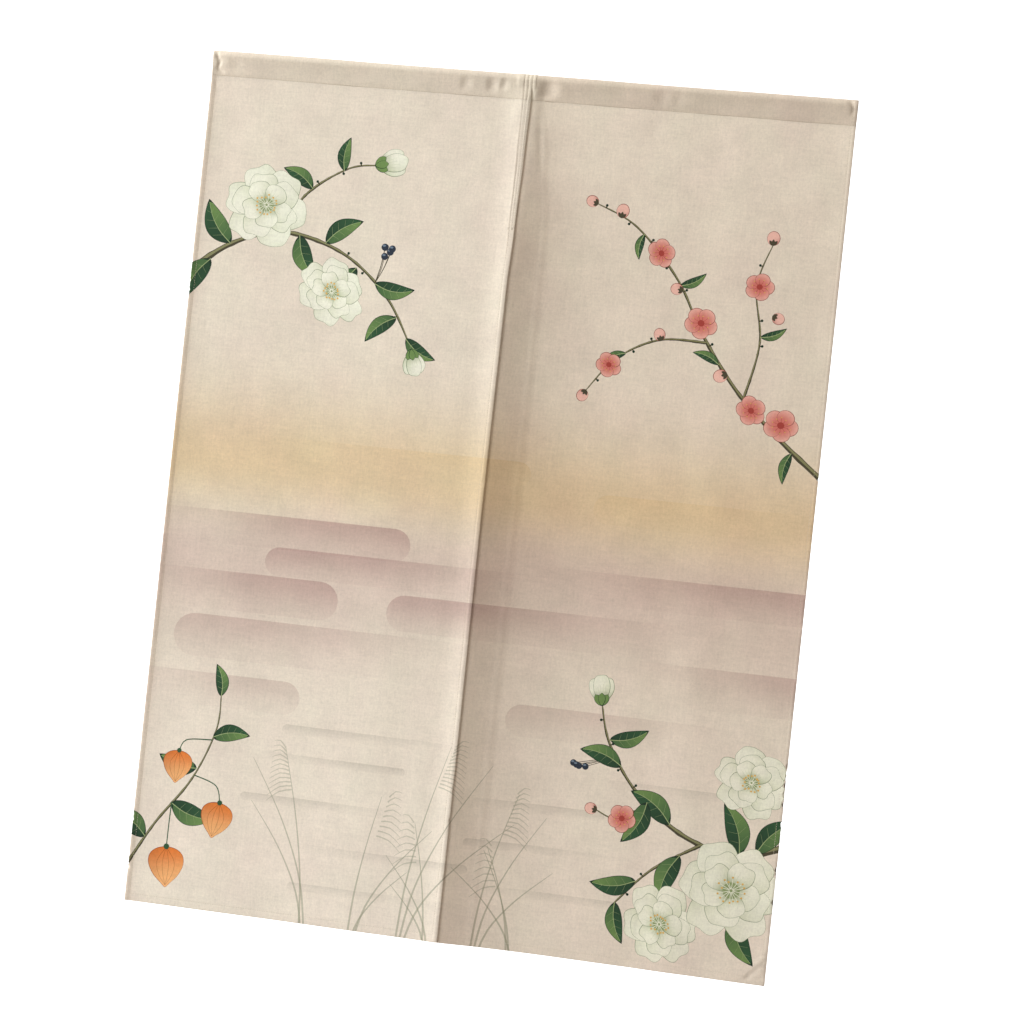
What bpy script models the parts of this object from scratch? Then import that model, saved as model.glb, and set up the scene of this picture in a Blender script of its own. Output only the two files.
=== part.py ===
# A noren: a doorway curtain of two cloth panels, joined at the top and parted below,
# that hangs from a rod pocket along its top edge. Metres, +Z up, the front facing -Y.
# The origin is the middle of the top edge, where the rod carries the curtain.
import math

import bmesh
import bpy

# The whole curtain.
WIDTH = 0.900
DROP = 1.200
CLOTH = 0.0012            # thickness of the cloth
PANEL_EDGE = WIDTH / 2 - 0.0004   # the panels' outer edges, a hair inside the pocket's ends
PIECE_GAP = 0.0003        # left between neighbouring pieces

# The rod pocket: a flattened tube, full and round at the top, drawn in at the seam.
POCKET_HEIGHT = 0.036
POCKET_TOP_RADIUS = 0.0075
POCKET_FOOT_RADIUS = 0.0022
POCKET_PITCH = 0.025      # between the tube's stations along X
TOP_ARC_POINTS = 9
FOOT_ARC_POINTS = 3
SIDE_POINTS = 3           # on each straight side, between the arcs

# The lapped joint where it crosses the pocket: its edges along X and how far it stands proud.
JOINT_LEFT = -0.015
JOINT_RIGHT = 0.013
JOINT_PROUD = 0.0014
JOINT_BLEND = 0.002

# Turned hems, which double the cloth.
SIDE_HEM = 0.008
INNER_HEM = 0.009
BOTTOM_HEM = 0.012
HEM_STEP = 0.0015         # over which the doubled cloth ends

# The left panel laps over the right one by this much.
LAP = 0.012
LAP_CLEARANCE = 2 * CLOTH + 2 * PIECE_GAP

# The split, by the drop below the top edge: where the left panel's inner edge runs along X, how far the left
# panel rises towards it (rise) and stands up along it (lip). From there the right panel falls away, fast over
# the first stretch (tuck, near) and slowly over a longer one (fall, reach), and comes forward again towards
# its outer edge (back). Sewn down to SEWN_DROP, free below.
SEWN_DROP = 0.213
RISE_FLANK = 0.320
LIP_FLANK = 0.028
SPLIT_COLUMNS = ("drop", "edge", "rise", "lip", "tuck", "near", "fall", "reach", "back")
SPLIT = [
    (0.036, 0.0100, 0.0000, 0.0030, 0.0000, 0.014, 0.0000, 0.040, 0.0000),
    (0.110, 0.0073, 0.0012, 0.0028, 0.0022, 0.024, 0.0030, 0.070, 0.0015),
    (SEWN_DROP, 0.0030, 0.0030, 0.0026, 0.0030, 0.040, 0.0065, 0.110, 0.0035),
    (0.300, 0.0000, 0.0040, 0.0022, 0.0032, 0.044, 0.0085, 0.145, 0.0050),
    (0.620, -0.0010, 0.0050, 0.0021, 0.0032, 0.045, 0.0100, 0.165, 0.0065),
    (0.950, 0.0000, 0.0054, 0.0021, 0.0032, 0.045, 0.0104, 0.165, 0.0066),
    (DROP, 0.0000, 0.0046, 0.0021, 0.0030, 0.045, 0.0092, 0.150, 0.0060),
]

# Soft folds down the panels: where along X at the top and at the foot, half their width, how far they
# stand forward at the top and at the foot. A minus is a hollow.
FOLDS = {
    "left_panel": [
        dict(top_x=-0.352, foot_x=-0.338, half=0.078, top=0.0001, foot=0.0006),
        dict(top_x=-0.262, foot_x=-0.240, half=0.070, top=-0.0001, foot=-0.0005),
        dict(top_x=-0.150, foot_x=-0.128, half=0.066, top=0.0001, foot=0.0005),
        dict(top_x=-0.082, foot_x=-0.076, half=0.040, top=-0.0001, foot=-0.0003),
    ],
    "right_panel": [
        dict(top_x=0.120, foot_x=0.132, half=0.060, top=-0.0001, foot=-0.0004),
        dict(top_x=0.206, foot_x=0.214, half=0.066, top=0.0001, foot=0.0004),
        dict(top_x=0.262, foot_x=0.266, half=0.034, top=-0.0001, foot=-0.0003),
        dict(top_x=0.306, foot_x=0.312, half=0.040, top=0.0002, foot=0.0009),
        dict(top_x=0.372, foot_x=0.380, half=0.052, top=-0.0001, foot=-0.0005),
    ],
}

# The outer edges curl forward. The right panel's lower corner falls back across a diagonal crease.
EDGE_CURL = {"left_panel": dict(reach=0.014, rise=0.0009), "right_panel": dict(reach=0.032, rise=0.0013)}
CORNER_REACH = 0.040
CORNER_BACK = 0.0022

# Puckers in the front of the pocket: where along X and below the top edge, half their width and height, and
# how far they dip. The deepest is beside the joint.
JOINT_PUCKER = dict(x=0.025, drop=0.021, half_width=0.013, half_height=0.015, dip=0.0016)
PUCKERS = [
    dict(x=-0.438, drop=0.016, half_width=0.016, half_height=0.016, dip=0.0010),
    dict(x=-0.305, drop=0.020, half_width=0.050, half_height=0.016, dip=0.0008),
    dict(x=-0.060, drop=0.019, half_width=0.034, half_height=0.014, dip=0.0012),
    JOINT_PUCKER,
    dict(x=0.195, drop=0.020, half_width=0.036, half_height=0.016, dip=0.0010),
]

# Each panel's grid: distances in from its inner and outer edge at which a column runs, columns between
# those, and rows down the free length.
PANEL_ROWS = 26
COLUMNS = {
    "left_panel": dict(
        inner=(0.0, INNER_HEM, INNER_HEM + HEM_STEP, 0.020, 0.030, 0.042, 0.056),
        between=13,
        outer=(0.0, SIDE_HEM, SIDE_HEM + HEM_STEP, 0.020),
    ),
    "right_panel": dict(
        inner=(0.0, INNER_HEM, INNER_HEM + HEM_STEP, LAP + 0.002, 0.026, 0.040, 0.056, 0.072, 0.092),
        between=14,
        outer=(0.0, SIDE_HEM, SIDE_HEM + HEM_STEP, 0.020, 0.036),
    ),
}

CREAM_LIT = (0.78, 0.71, 0.60, 1.0)
CREAM = (0.72, 0.64, 0.53, 1.0)
CREAM_FOLD = (0.67, 0.59, 0.48, 1.0)


def empty_scene():
    for thing in list(bpy.data.objects):
        bpy.data.objects.remove(thing, do_unlink=True)


def smooth_step(t):
    t = min(1.0, max(0.0, t))
    return t * t * (3.0 - 2.0 * t)


def bump(distance, half):
    """1 at no distance, 0 from half outwards, on a cosine."""
    if abs(distance) >= half:
        return 0.0
    return 0.5 + 0.5 * math.cos(math.pi * distance / half)


def split_at(drop):
    """The split's row at this drop, read smoothly between the rows of the table."""
    for upper, lower in zip(SPLIT, SPLIT[1:]):
        if drop <= lower[0]:
            break
    share = smooth_step((drop - upper[0]) / (lower[0] - upper[0]))
    return {key: a + share * (b - a) for key, a, b in zip(SPLIT_COLUMNS, upper, lower)}


def ease(distance, reach):
    """From 0 at no distance to 1 at reach, steepest at the start."""
    return 1.0 - max(0.0, 1.0 - distance / reach) ** 2


def ridge(name, x, drop):
    """How far the split carries a panel forward."""
    row = split_at(drop)
    past_edge = x - row["edge"]
    before = min(0.0, past_edge)
    forward = row["rise"] * smooth_step(1.0 + before / RISE_FLANK) + row["lip"] * (1.0 - ease(-before, LIP_FLANK))
    if name == "left_panel":
        return forward
    forward -= LAP_CLEARANCE
    if past_edge > 0.0:
        forward -= row["tuck"] * ease(past_edge, row["near"]) + row["fall"] * ease(past_edge, row["reach"])
        forward += row["back"] * smooth_step((past_edge - row["reach"]) / (WIDTH / 2 - row["reach"]))
    return forward


def folds(name, x, drop):
    down = (drop - POCKET_HEIGHT) / (DROP - POCKET_HEIGHT)
    total = 0.0
    for fold in FOLDS[name]:
        middle = fold["top_x"] + down * (fold["foot_x"] - fold["top_x"])
        height = fold["top"] + smooth_step(down) * (fold["foot"] - fold["top"])
        total += height * bump(x - middle, fold["half"])
    return total


def curl(name, x, drop):
    """How far a panel's outer edge comes forward, less how far the lower right corner falls back."""
    edge = EDGE_CURL[name]
    inside = PANEL_EDGE - abs(x)
    forward = 0.0
    if name_side(name) * x > 0.0:
        forward = edge["rise"] * (1.0 - ease(inside, edge["reach"]))
    if name == "right_panel":
        from_corner = inside + DROP - drop
        forward -= CORNER_BACK * max(0.0, 1.0 - from_corner / CORNER_REACH)
    return forward


def name_side(name):
    return -1.0 if name == "left_panel" else 1.0


def panel_front(name, x, drop):
    """Y of a panel's front face."""
    forward = CLOTH / 2 + ridge(name, x, drop) + folds(name, x, drop) + curl(name, x, drop)
    return -forward


def inner_edge(name, drop):
    edge = split_at(drop)["edge"]
    return edge if name == "left_panel" else edge - LAP


def column_places(inner, between, outer):
    """For each column, its share of the way from the inner to the outer edge, and a distance added to it."""
    places = [(0.0, distance) for distance in inner]
    for number in range(1, between + 1):
        share = number / (between + 1)
        places.append((share, inner[-1] * (1.0 - share) - outer[-1] * share))
    places += [(1.0, -distance) for distance in reversed(outer)]
    return places


def row_drops():
    first, last = POCKET_HEIGHT + PIECE_GAP, DROP - BOTTOM_HEM - HEM_STEP
    drops = [first + (last - first) * number / PANEL_ROWS for number in range(PANEL_ROWS + 1)]
    return drops + [DROP - BOTTOM_HEM, DROP]


def grid_mesh(columns, rows):
    """A bmesh grid, and each of its points with its column and row."""
    mesh = bmesh.new()
    bmesh.ops.create_grid(mesh, x_segments=columns - 1, y_segments=rows - 1, size=1.0)
    placed = []
    for point in mesh.verts:
        column = round((point.co.x + 1.0) / 2.0 * (columns - 1))
        row = round((1.0 - point.co.y) / 2.0 * (rows - 1))
        placed.append((point, column, row))
    return mesh, placed


def cloth_material(name, colour):
    material = bpy.data.materials.new(name)
    material.use_nodes = True
    shader = material.node_tree.nodes["Principled BSDF"]
    shader.inputs["Base Color"].default_value = colour
    shader.inputs["Roughness"].default_value = 0.9
    shader.inputs["Metallic"].default_value = 0.0
    return material


def add_piece(name, mesh, collection, colour):
    data = bpy.data.meshes.new(name)
    mesh.to_mesh(data)
    mesh.free()
    data.shade_smooth()
    data.materials.append(cloth_material(name, colour))
    piece = bpy.data.objects.new(name, data)
    collection.objects.link(piece)
    return piece


def thicken(piece, thickness):
    """Give the front surface its thickness, behind it or inside it."""
    wall = piece.modifiers.new("cloth", "SOLIDIFY")
    wall.thickness = thickness
    wall.offset = -1.0
    wall.use_even_offset = True
    return wall


def build_panel(name, collection, colour):
    places = column_places(**COLUMNS[name])
    drops = row_drops()
    side = name_side(name)
    mesh, placed = grid_mesh(len(places), len(drops))
    doubled = set()
    for point, column, row in placed:
        # Columns of the left panel run from its outer edge, so that the front keeps facing -Y.
        share, distance = places[column if side > 0.0 else len(places) - 1 - column]
        drop = drops[row]
        inner = inner_edge(name, drop)
        x = inner + share * (side * PANEL_EDGE - inner) + side * distance
        point.co = (x, panel_front(name, x, drop), -drop)
        in_from_inner = side * (x - inner)
        in_from_outer = PANEL_EDGE - side * x
        slack = HEM_STEP / 4
        in_hem = in_from_inner < INNER_HEM + slack or in_from_outer < SIDE_HEM + slack
        if in_hem or drop > DROP - BOTTOM_HEM - slack:
            doubled.add(point.index)
    piece = add_piece(name, mesh, collection, colour)
    hems = piece.vertex_groups.new(name="hems")
    for point in piece.data.vertices:
        hems.add([point.index], 1.0 if point.index in doubled else 0.5, "REPLACE")
    thicken(piece, 2 * CLOTH).vertex_group = "hems"


def pocket_outline():
    """The pocket's section as (y, drop) points: a large circle over a small one, joined by their tangents."""
    top, foot = POCKET_TOP_RADIUS, POCKET_FOOT_RADIUS
    top_drop, foot_drop = top, POCKET_HEIGHT - foot
    lean = math.asin((top - foot) / (foot_drop - top_drop))

    def arc(centre, radius, start, stop, count):
        angles = [start + (stop - start) * number / (count - 1) for number in range(count)]
        return [(radius * math.cos(angle), centre - radius * math.sin(angle)) for angle in angles]

    def side(start, stop):
        shares = [number / (SIDE_POINTS + 1) for number in range(1, SIDE_POINTS + 1)]
        return [tuple(a + share * (b - a) for a, b in zip(start, stop)) for share in shares]

    over = arc(top_drop, top, -lean, math.pi + lean, TOP_ARC_POINTS)
    under = arc(foot_drop, foot, math.pi + lean, 2 * math.pi - lean, FOOT_ARC_POINTS)
    return over + side(over[-1], under[0]) + under + side(under[-1], over[0])


def pocket_stations():
    count = round(WIDTH / POCKET_PITCH)
    even = [-WIDTH / 2 + WIDTH * number / count for number in range(count + 1)]
    joint = [JOINT_LEFT - JOINT_BLEND, JOINT_LEFT, JOINT_RIGHT, JOINT_RIGHT + JOINT_BLEND]
    pucker = [JOINT_PUCKER["x"], JOINT_PUCKER["x"] + JOINT_PUCKER["half_width"]]
    kept = [x for x in even if all(abs(x - other) > POCKET_PITCH / 4 for other in joint + pucker)]
    return sorted(kept + joint + pucker)


def pocket_relief(x, drop):
    """How far the pocket's front stands forward of its plain tube."""
    proud_left = smooth_step((x - JOINT_LEFT + JOINT_BLEND) / JOINT_BLEND)
    proud_right = smooth_step((JOINT_RIGHT + JOINT_BLEND - x) / JOINT_BLEND)
    relief = JOINT_PROUD * proud_left * proud_right
    for pucker in PUCKERS:
        along, up = x - pucker["x"], drop - pucker["drop"]
        relief -= pucker["dip"] * bump(along, pucker["half_width"]) * bump(up, pucker["half_height"])
    return relief


def build_heading(collection, colour):
    outline = pocket_outline()
    outline.append(outline[0])
    stations = pocket_stations()
    mesh, placed = grid_mesh(len(stations), len(outline))
    for point, column, row in placed:
        x = stations[column]
        y, drop = outline[row]
        front_share = smooth_step(-y / POCKET_FOOT_RADIUS)
        point.co = (x, y - front_share * pocket_relief(x, drop), -drop)
    bmesh.ops.remove_doubles(mesh, verts=mesh.verts, dist=0.00001)
    bmesh.ops.recalc_face_normals(mesh, faces=mesh.faces)
    piece = add_piece("heading", mesh, collection, colour)
    thicken(piece, CLOTH)


def build():
    empty_scene()
    collection = bpy.data.collections.new("noren_curtain")
    bpy.context.scene.collection.children.link(collection)
    build_heading(collection, CREAM_FOLD)
    build_panel("left_panel", collection, CREAM_LIT)
    build_panel("right_panel", collection, CREAM)


build()
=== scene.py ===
import math

import bpy
import numpy as np
from mathutils import Matrix, Vector
from mathutils.geometry import delaunay_2d_cdt


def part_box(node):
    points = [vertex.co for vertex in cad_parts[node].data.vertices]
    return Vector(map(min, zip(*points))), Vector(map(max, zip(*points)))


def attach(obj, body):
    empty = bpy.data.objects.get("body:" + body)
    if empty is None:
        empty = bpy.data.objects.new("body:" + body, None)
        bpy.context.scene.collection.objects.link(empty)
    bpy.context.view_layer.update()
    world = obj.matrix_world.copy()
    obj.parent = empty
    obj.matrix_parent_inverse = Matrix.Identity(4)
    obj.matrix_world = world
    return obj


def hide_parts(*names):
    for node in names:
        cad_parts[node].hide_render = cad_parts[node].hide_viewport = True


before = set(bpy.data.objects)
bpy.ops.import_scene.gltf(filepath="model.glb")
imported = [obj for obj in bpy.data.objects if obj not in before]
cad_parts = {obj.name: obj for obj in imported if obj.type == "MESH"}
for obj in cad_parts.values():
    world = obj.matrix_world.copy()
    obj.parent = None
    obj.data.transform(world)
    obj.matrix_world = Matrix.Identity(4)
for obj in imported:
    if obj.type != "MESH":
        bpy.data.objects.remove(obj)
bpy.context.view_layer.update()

# A noren of printed linen-look cloth. All sizes here are millimetres: x across from the middle, drop down
# from the top edge, depth from the cloth's printed face towards its back. Meshes are written in metres.
toMetres = 0.001


def nodeBox(node):
    low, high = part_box(node)
    return np.array(low) / toMetres, np.array(high) / toMetres


headingLow, headingHigh = nodeBox("heading")
panelLow, _ = nodeBox("left_panel")
curtain = {
    "half": headingHigh[0],      # half the width
    "drop": -panelLow[2],        # from the top edge to the foot
    "seam": -headingLow[2],      # where the pocket is stitched down
    "cloth": 0.46,               # thickness of the cloth
    "solid": 1.2,                # thickness of the solids' cloth
    "lap": 12.0,                 # of the left panel over the right one
    "sewn": 213.0,               # the panels are joined down to here
}
print(f"sizes: {2 * curtain['half']:.0f} x {curtain['drop']:.0f} mm, seam at {curtain['seam']:.0f} mm")


# Shape functions of numbers or whole arrays.

def smoothStep(t):
    # 3t^2 - 2t^3, held at 0 and 1 outside
    t = np.clip(t, 0.0, 1.0)
    return t * t * (3.0 - 2.0 * t)


def swell(distance, half):
    # a cosine hump, 1 in the middle and 0 from half outwards
    t = np.clip(np.abs(distance) / half, 0.0, 1.0)
    return 0.5 + 0.5 * np.cos(np.pi * t)


# How the cloth hangs: the solids' own rise to the split, fall behind it, folds and curled edges.

splitRows = {
    "drop": np.array([36.0, 110.0, 213.0, 300.0, 620.0, 950.0, 1200.0]),
    "edge": np.array([5.6, 4.6, 2.4, 0.0, -1.0, 0.0, 0.0]),           # the left panel's inner edge
    "rise": np.array([0.0, 1.2, 3.0, 4.0, 5.0, 5.4, 4.6]),            # up to the crest beside the split
    "lip": np.array([3.5, 3.2, 2.8, 2.6, 2.6, 2.6, 2.6]),             # and along it
    "brow": np.array([-6.0, -6.0, -6.0, -4.6, -5.6, -4.6, -4.6]),     # where the lip is full
    "crest": np.array([0.5, 0.5, -0.5, -4.6, -5.6, -4.6, -4.6]),      # where it starts to fall
    "tuck": np.array([3.5, 5.6, 7.7, 8.6, 8.8, 8.8, 8.4]),            # the quick fall, over near
    "near": np.array([23.0, 32.0, 42.0, 47.0, 48.0, 48.0, 48.0]),
    "fall": np.array([0.0, 1.6, 4.0, 5.6, 6.6, 7.0, 6.0]),            # and the slow one, on to reach
    "reach": np.array([46.0, 80.0, 120.0, 152.0, 172.0, 172.0, 158.0]),
    "back": np.array([0.0, 1.6, 3.5, 5.0, 6.5, 6.6, 6.0]),            # how far it comes forward again
    "quick": np.array([0.55, 0.55, 0.5, 0.3, 0.3, 0.3, 0.3]),         # share of the lap's step gone at once
}
hanging = {
    "riseFlank": 320.0, "lipFlank": 34.0,
    "rounded": 3.0,                     # over how much the crest turns into the fall
    "lapStep": 1.2, "lapQuick": 6.0,    # from the left panel's face down to the right one's, where they lap
    "seamProud": 0.25,                  # the panels' faces cover the seam's rounded foot
    "seamFade": 18.0,                   # below which they no longer do
    "slow": 0.22, "quick": 0.07,                # heights of the slow and quick waves all over the cloth
    "calmBelow": 60.0, "calmBeside": 30.0,      # it is even this near the seam and the split
    "leftCurl": {"reach": 38.0, "rise": 1.2, "lipReach": 11.0, "lip": 0.9},
    "rightCurl": {"reach": 32.0, "rise": 1.1, "lipReach": 8.0, "lip": 0.1},
    "corner": {"reach": 40.0, "back": 1.2},
    # x at the top, x at the foot, half width, height at the top, height at the foot
    "leftFolds": [
        (-352.0, -338.0, 78.0, 0.1, 0.6), (-262.0, -240.0, 70.0, -0.1, -0.5),
        (-150.0, -128.0, 66.0, 0.1, 0.5), (-82.0, -76.0, 40.0, -0.1, -0.3),
    ],
    "rightFolds": [
        (120.0, 132.0, 60.0, -0.1, -0.4), (206.0, 214.0, 66.0, 0.1, 0.4), (262.0, 266.0, 34.0, -0.1, -0.3),
        (306.0, 312.0, 40.0, 0.2, 0.9), (372.0, 380.0, 52.0, -0.1, -0.5),
    ],
    # creases: x, drop, turn, half length, half width, height
    "creases": [
        (432.0, 1184.0, -52.0, 26.0, 5.0, -1.3), (438.0, 1172.0, -56.0, 24.0, 7.0, 0.9),
        (24.0, 92.0, 84.0, 62.0, 7.0, -0.5), (-14.0, 60.0, 96.0, 34.0, 9.0, 0.3),
        (-442.0, 50.0, 70.0, 16.0, 3.0, -0.4), (-300.0, 52.0, 86.0, 26.0, 12.0, 0.3),
        (-120.0, 60.0, 92.0, 40.0, 14.0, -0.3), (180.0, 56.0, 88.0, 34.0, 14.0, -0.3),
    ],
}


def splitAt(column, drop):
    # one column of the table, joined by smooth steps
    rows = splitRows["drop"]
    k = np.clip(np.searchsorted(rows, drop) - 1, 0, len(rows) - 2)
    share = smoothStep((drop - rows[k]) / (rows[k + 1] - rows[k]))
    values = splitRows[column]
    return values[k] + share * (values[k + 1] - values[k])


def ease(distance, reach):
    # 0 at no distance, 1 at reach, steepest at the start
    return 1.0 - np.clip(1.0 - distance / reach, 0.0, None) ** 2


def easedRamp(t):
    # t itself, eased into 1 between 0.8 and 1.2
    return t - np.clip(t - 0.8, 0.0, 0.4) ** 2 / 0.8 - np.clip(t - 1.2, 0.0, None)


def unevenness(x, drop):
    # crossed slow sines, as cloth that never hangs quite flat
    slow = hanging["slow"] * np.sin(x / 57.0 + 1.1 * np.sin(drop / 143.0)) * np.sin(drop / 96.0 + 0.6)
    quick = hanging["quick"] * np.sin(x / 19.0 + drop / 71.0) * np.sin(drop / 33.0 - x / 88.0)
    return slow + quick


def crease(x, drop, row):
    # a trough or ridge: a cosine hump across its line, fading by another along it
    cx, cd, turn, halfLength, halfWidth, height = row
    c, s = math.cos(math.radians(turn)), math.sin(math.radians(turn))
    along = (x - cx) * c + (drop - cd) * s
    across = (drop - cd) * c - (x - cx) * s
    return height * swell(along, halfLength) * swell(across, halfWidth)


def forwardOf(side, x, drop):
    # how far a panel's front stands forward of the seam's plane: up to the crest, then down its right side
    past = x - splitAt("edge", drop)
    before = np.minimum(x - splitAt("brow", drop), 0.0)
    beyond = np.maximum(x - splitAt("crest", drop), 0.0)
    near, reach, quick = splitAt("near", drop), splitAt("reach", drop), splitAt("quick", drop)
    forward = curtain["solid"] / 2 + splitAt("rise", drop) * smoothStep(1.0 + before / hanging["riseFlank"])
    forward = forward + splitAt("lip", drop) * (1.0 - ease(-before, hanging["lipFlank"]))
    # the crest is rounded, as a parabola that runs on into the slope
    turn = hanging["rounded"]
    rounded = np.where(beyond < turn, beyond ** 2 / (2 * turn), beyond - turn / 2)
    forward = forward - splitAt("tuck", drop) * easedRamp(rounded / near)
    forward = forward - splitAt("fall", drop) * ease(np.maximum(beyond - near, 0.0), reach - near)
    forward = forward + splitAt("back", drop) * smoothStep((beyond - reach) / (curtain["half"] - reach))
    if side > 0:
        madeUp = quick * smoothStep(past / hanging["lapQuick"]) + (1.0 - quick) * smoothStep(past / reach)
        forward = forward - hanging["lapStep"] * (1.0 - madeUp)
    covering = smoothStep(1.0 + (curtain["seam"] - drop) / hanging["seamFade"])
    forward = forward + hanging["seamProud"] * covering
    down = (drop - curtain["seam"]) / (curtain["drop"] - curtain["seam"])
    for topX, footX, half, top, foot in hanging["rightFolds" if side > 0 else "leftFolds"]:
        height = top + smoothStep(down) * (foot - top)
        forward = forward + height * swell(x - topX - down * (footX - topX), half)
    curl = hanging["rightCurl" if side > 0 else "leftCurl"]
    inside = curtain["half"] - side * x
    forward = forward + curl["rise"] * (1.0 - ease(inside, curl["reach"]))
    forward = forward + curl["lip"] * (1.0 - ease(inside, curl["lipReach"]))
    if side > 0:
        corner = hanging["corner"]
        fromCorner = inside + curtain["drop"] - drop
        forward = forward - corner["back"] * np.clip(1.0 - fromCorner / corner["reach"], 0.0, 1.2)
    for row in hanging["creases"]:
        if row[0] * side > 0.0:
            forward = forward + crease(x, drop, row)
    calm = smoothStep((drop - curtain["seam"]) / hanging["calmBelow"])
    calm = calm * smoothStep(np.abs(past) / hanging["calmBeside"])
    return forward + unevenness(x, drop) * calm


# Colours, as the cloth shows them in even light.

def linear(shade):
    # "#rrggbb" as linear light
    values = np.array([int(shade[k:k + 2], 16) / 255.0 for k in (1, 3, 5)])
    return np.where(values < 0.04045, values / 12.92, ((values + 0.055) / 1.055) ** 2.4)


inks = {name: linear(shade) for name, shade in {
    "cream": "#e5dbcb", "creamLow": "#e8decf", "peach": "#dbc298", "rose": "#c5aca2",
    "mauve": "#b0908a", "haze": "#a8a093", "reed": "#8f9179",
    "petal": "#eef0de", "petalShade": "#b9c39c", "petalDeep": "#8fa070", "petalLine": "#7c8a66",
    "leaf": "#2f5537", "leafLight": "#6f8f52", "leafLine": "#1d3324", "leafRib": "#a5b680",
    "twig": "#4a4634", "twigLight": "#8d8d63", "coral": "#d2766b", "coralDeep": "#a8433b",
    "coralPale": "#eec0b2", "coralLine": "#86362f",
    "amber": "#dc7a34", "amberPale": "#eeb377", "amberLine": "#9a4a1e",
    "berry": "#2b3442", "berryShine": "#7f93a6", "pollen": "#d9b25c",
}.items()}


def mix(a, b, t):
    # a and b are colours or rows of colours, t a number or one for each row
    t = np.asarray(t)[..., None]
    return a * (1.0 - t) + b * t


# The print: layers of ink, the lowest first. Each is a closed outline with its colour and cover worked out
# from the points of the motif's own plan.

inkLayers = []
hand = np.random.default_rng(11)
longestSide = {"plain": 4.5, "atFolds": 0.45}      # of an outline, in the flat and where a hem is turned


def place(at, turn=0.0, size=(1.0, 1.0), within=None):
    # a motif's plan as a 2 x 2 matrix and an offset, inside another motif's plan if one is given
    c, s = math.cos(math.radians(turn)), math.sin(math.radians(turn))
    matrix = np.array([[c, -s], [s, c]]) @ np.diag(size)
    if within is None:
        return matrix, np.array(at, float)
    outer, offset = within
    return outer @ matrix, outer @ np.array(at, float) + offset


def divided(outline, longest):
    # every side cut into equal lengths no longer than this, so that the mesh can follow the folds along it;
    # longest is one value for all sides or one for each
    following = np.roll(outline, -1, 0)
    counts = np.maximum(1, np.ceil(np.linalg.norm(following - outline, axis=1) / longest)).astype(int)
    which = np.repeat(np.arange(len(outline)), counts)
    step = np.arange(len(which)) - np.repeat(np.cumsum(counts) - counts, counts)
    share = (step / counts[which])[:, None]
    return outline[which] * (1.0 - share) + following[which] * share


def lay(outline, spot, paint, cover=1.0):
    # spot is the plan; paint and cover are values, or functions of the plan's points
    matrix, offset = spot
    inkLayers.append({
        "outline": divided(outline @ matrix.T + offset, longestSide["plain"]),
        "inverse": np.linalg.inv(matrix), "offset": offset, "paint": paint, "cover": cover,
    })


def inset(outline, by):
    # each point moved inwards along the normal of its neighbours' chord
    chord = np.roll(outline, -1, 0) - np.roll(outline, 1, 0)
    normal = np.stack([-chord[:, 1], chord[:, 0]], 1) / (np.linalg.norm(chord, axis=1)[:, None] + 1e-9)
    x, y = outline[:, 0], outline[:, 1]
    turned = np.sign(np.sum(x * np.roll(y, -1) - np.roll(x, -1) * y))
    return outline + normal * turned * np.reshape(by, (-1, 1))


def smoothPath(points, step):
    # a Catmull-Rom curve through the points, at about one step apart
    p = np.array([points[0], *points, points[-1]], float)
    parts = []
    for a, b, c, d in zip(p, p[1:], p[2:], p[3:]):
        count = max(2, int(np.linalg.norm(c - b) / step))
        t = np.linspace(0.0, 1.0, count, endpoint=False)[:, None]
        parts.append(0.5 * (2 * b + (c - a) * t + (2 * a - 5 * b + 4 * c - d) * t ** 2
                            + (3 * b - a - 3 * c + d) * t ** 3))
    return np.concatenate([*parts, p[-1:]])


def strokeShape(path, widths):
    # a path given a width, by its own normals
    tangent = np.gradient(path, axis=0)
    normal = np.stack([-tangent[:, 1], tangent[:, 0]], 1) / (np.linalg.norm(tangent, axis=1)[:, None] + 1e-9)
    half = np.reshape(widths, (-1, 1)) / 2
    return np.concatenate([path + normal * half, (path - normal * half)[::-1]])


def stroke(points, spot, paint, wide, thin, cover=1.0, step=3.0):
    path = smoothPath(points, step)
    widths = np.linspace(wide, thin, len(path))
    lay(strokeShape(path, widths), spot, paint, cover)


def discShape(radius, count=18):
    t = np.linspace(0.0, 2 * np.pi, count, endpoint=False)
    return radius * np.stack([np.cos(t), np.sin(t)], 1)


def petalShape(length, width, notch, ruffle, count=44):
    # out and back along the length as 1 - cos t, across as sin t narrowed to the foot, dented at the tip
    t = np.linspace(0.0, 2 * np.pi, count, endpoint=False)
    phase = hand.uniform(0.0, 6.0)
    waves = 1.0 + ruffle * np.sin(5.0 * t + phase) * np.sin(t / 2) ** 2
    along = ((1.0 - np.cos(t)) / 2 - notch * np.exp(-((t - np.pi) / 0.3) ** 2)) * waves
    across = np.sin(t) * np.sin(t / 2) ** 0.55 * waves
    return np.stack([along * length, across * width / 2], 1)


def outlined(outline, spot, line, paint, thick=0.8):
    # the outline filled with the line's colour, then again a line's width inside it
    lay(outline, spot, line)
    heavy = 0.75 + 0.35 * np.sin(np.linspace(0.0, 2 * np.pi, len(outline), endpoint=False) + 0.8)
    lay(inset(outline, thick * heavy), spot, paint)


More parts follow.
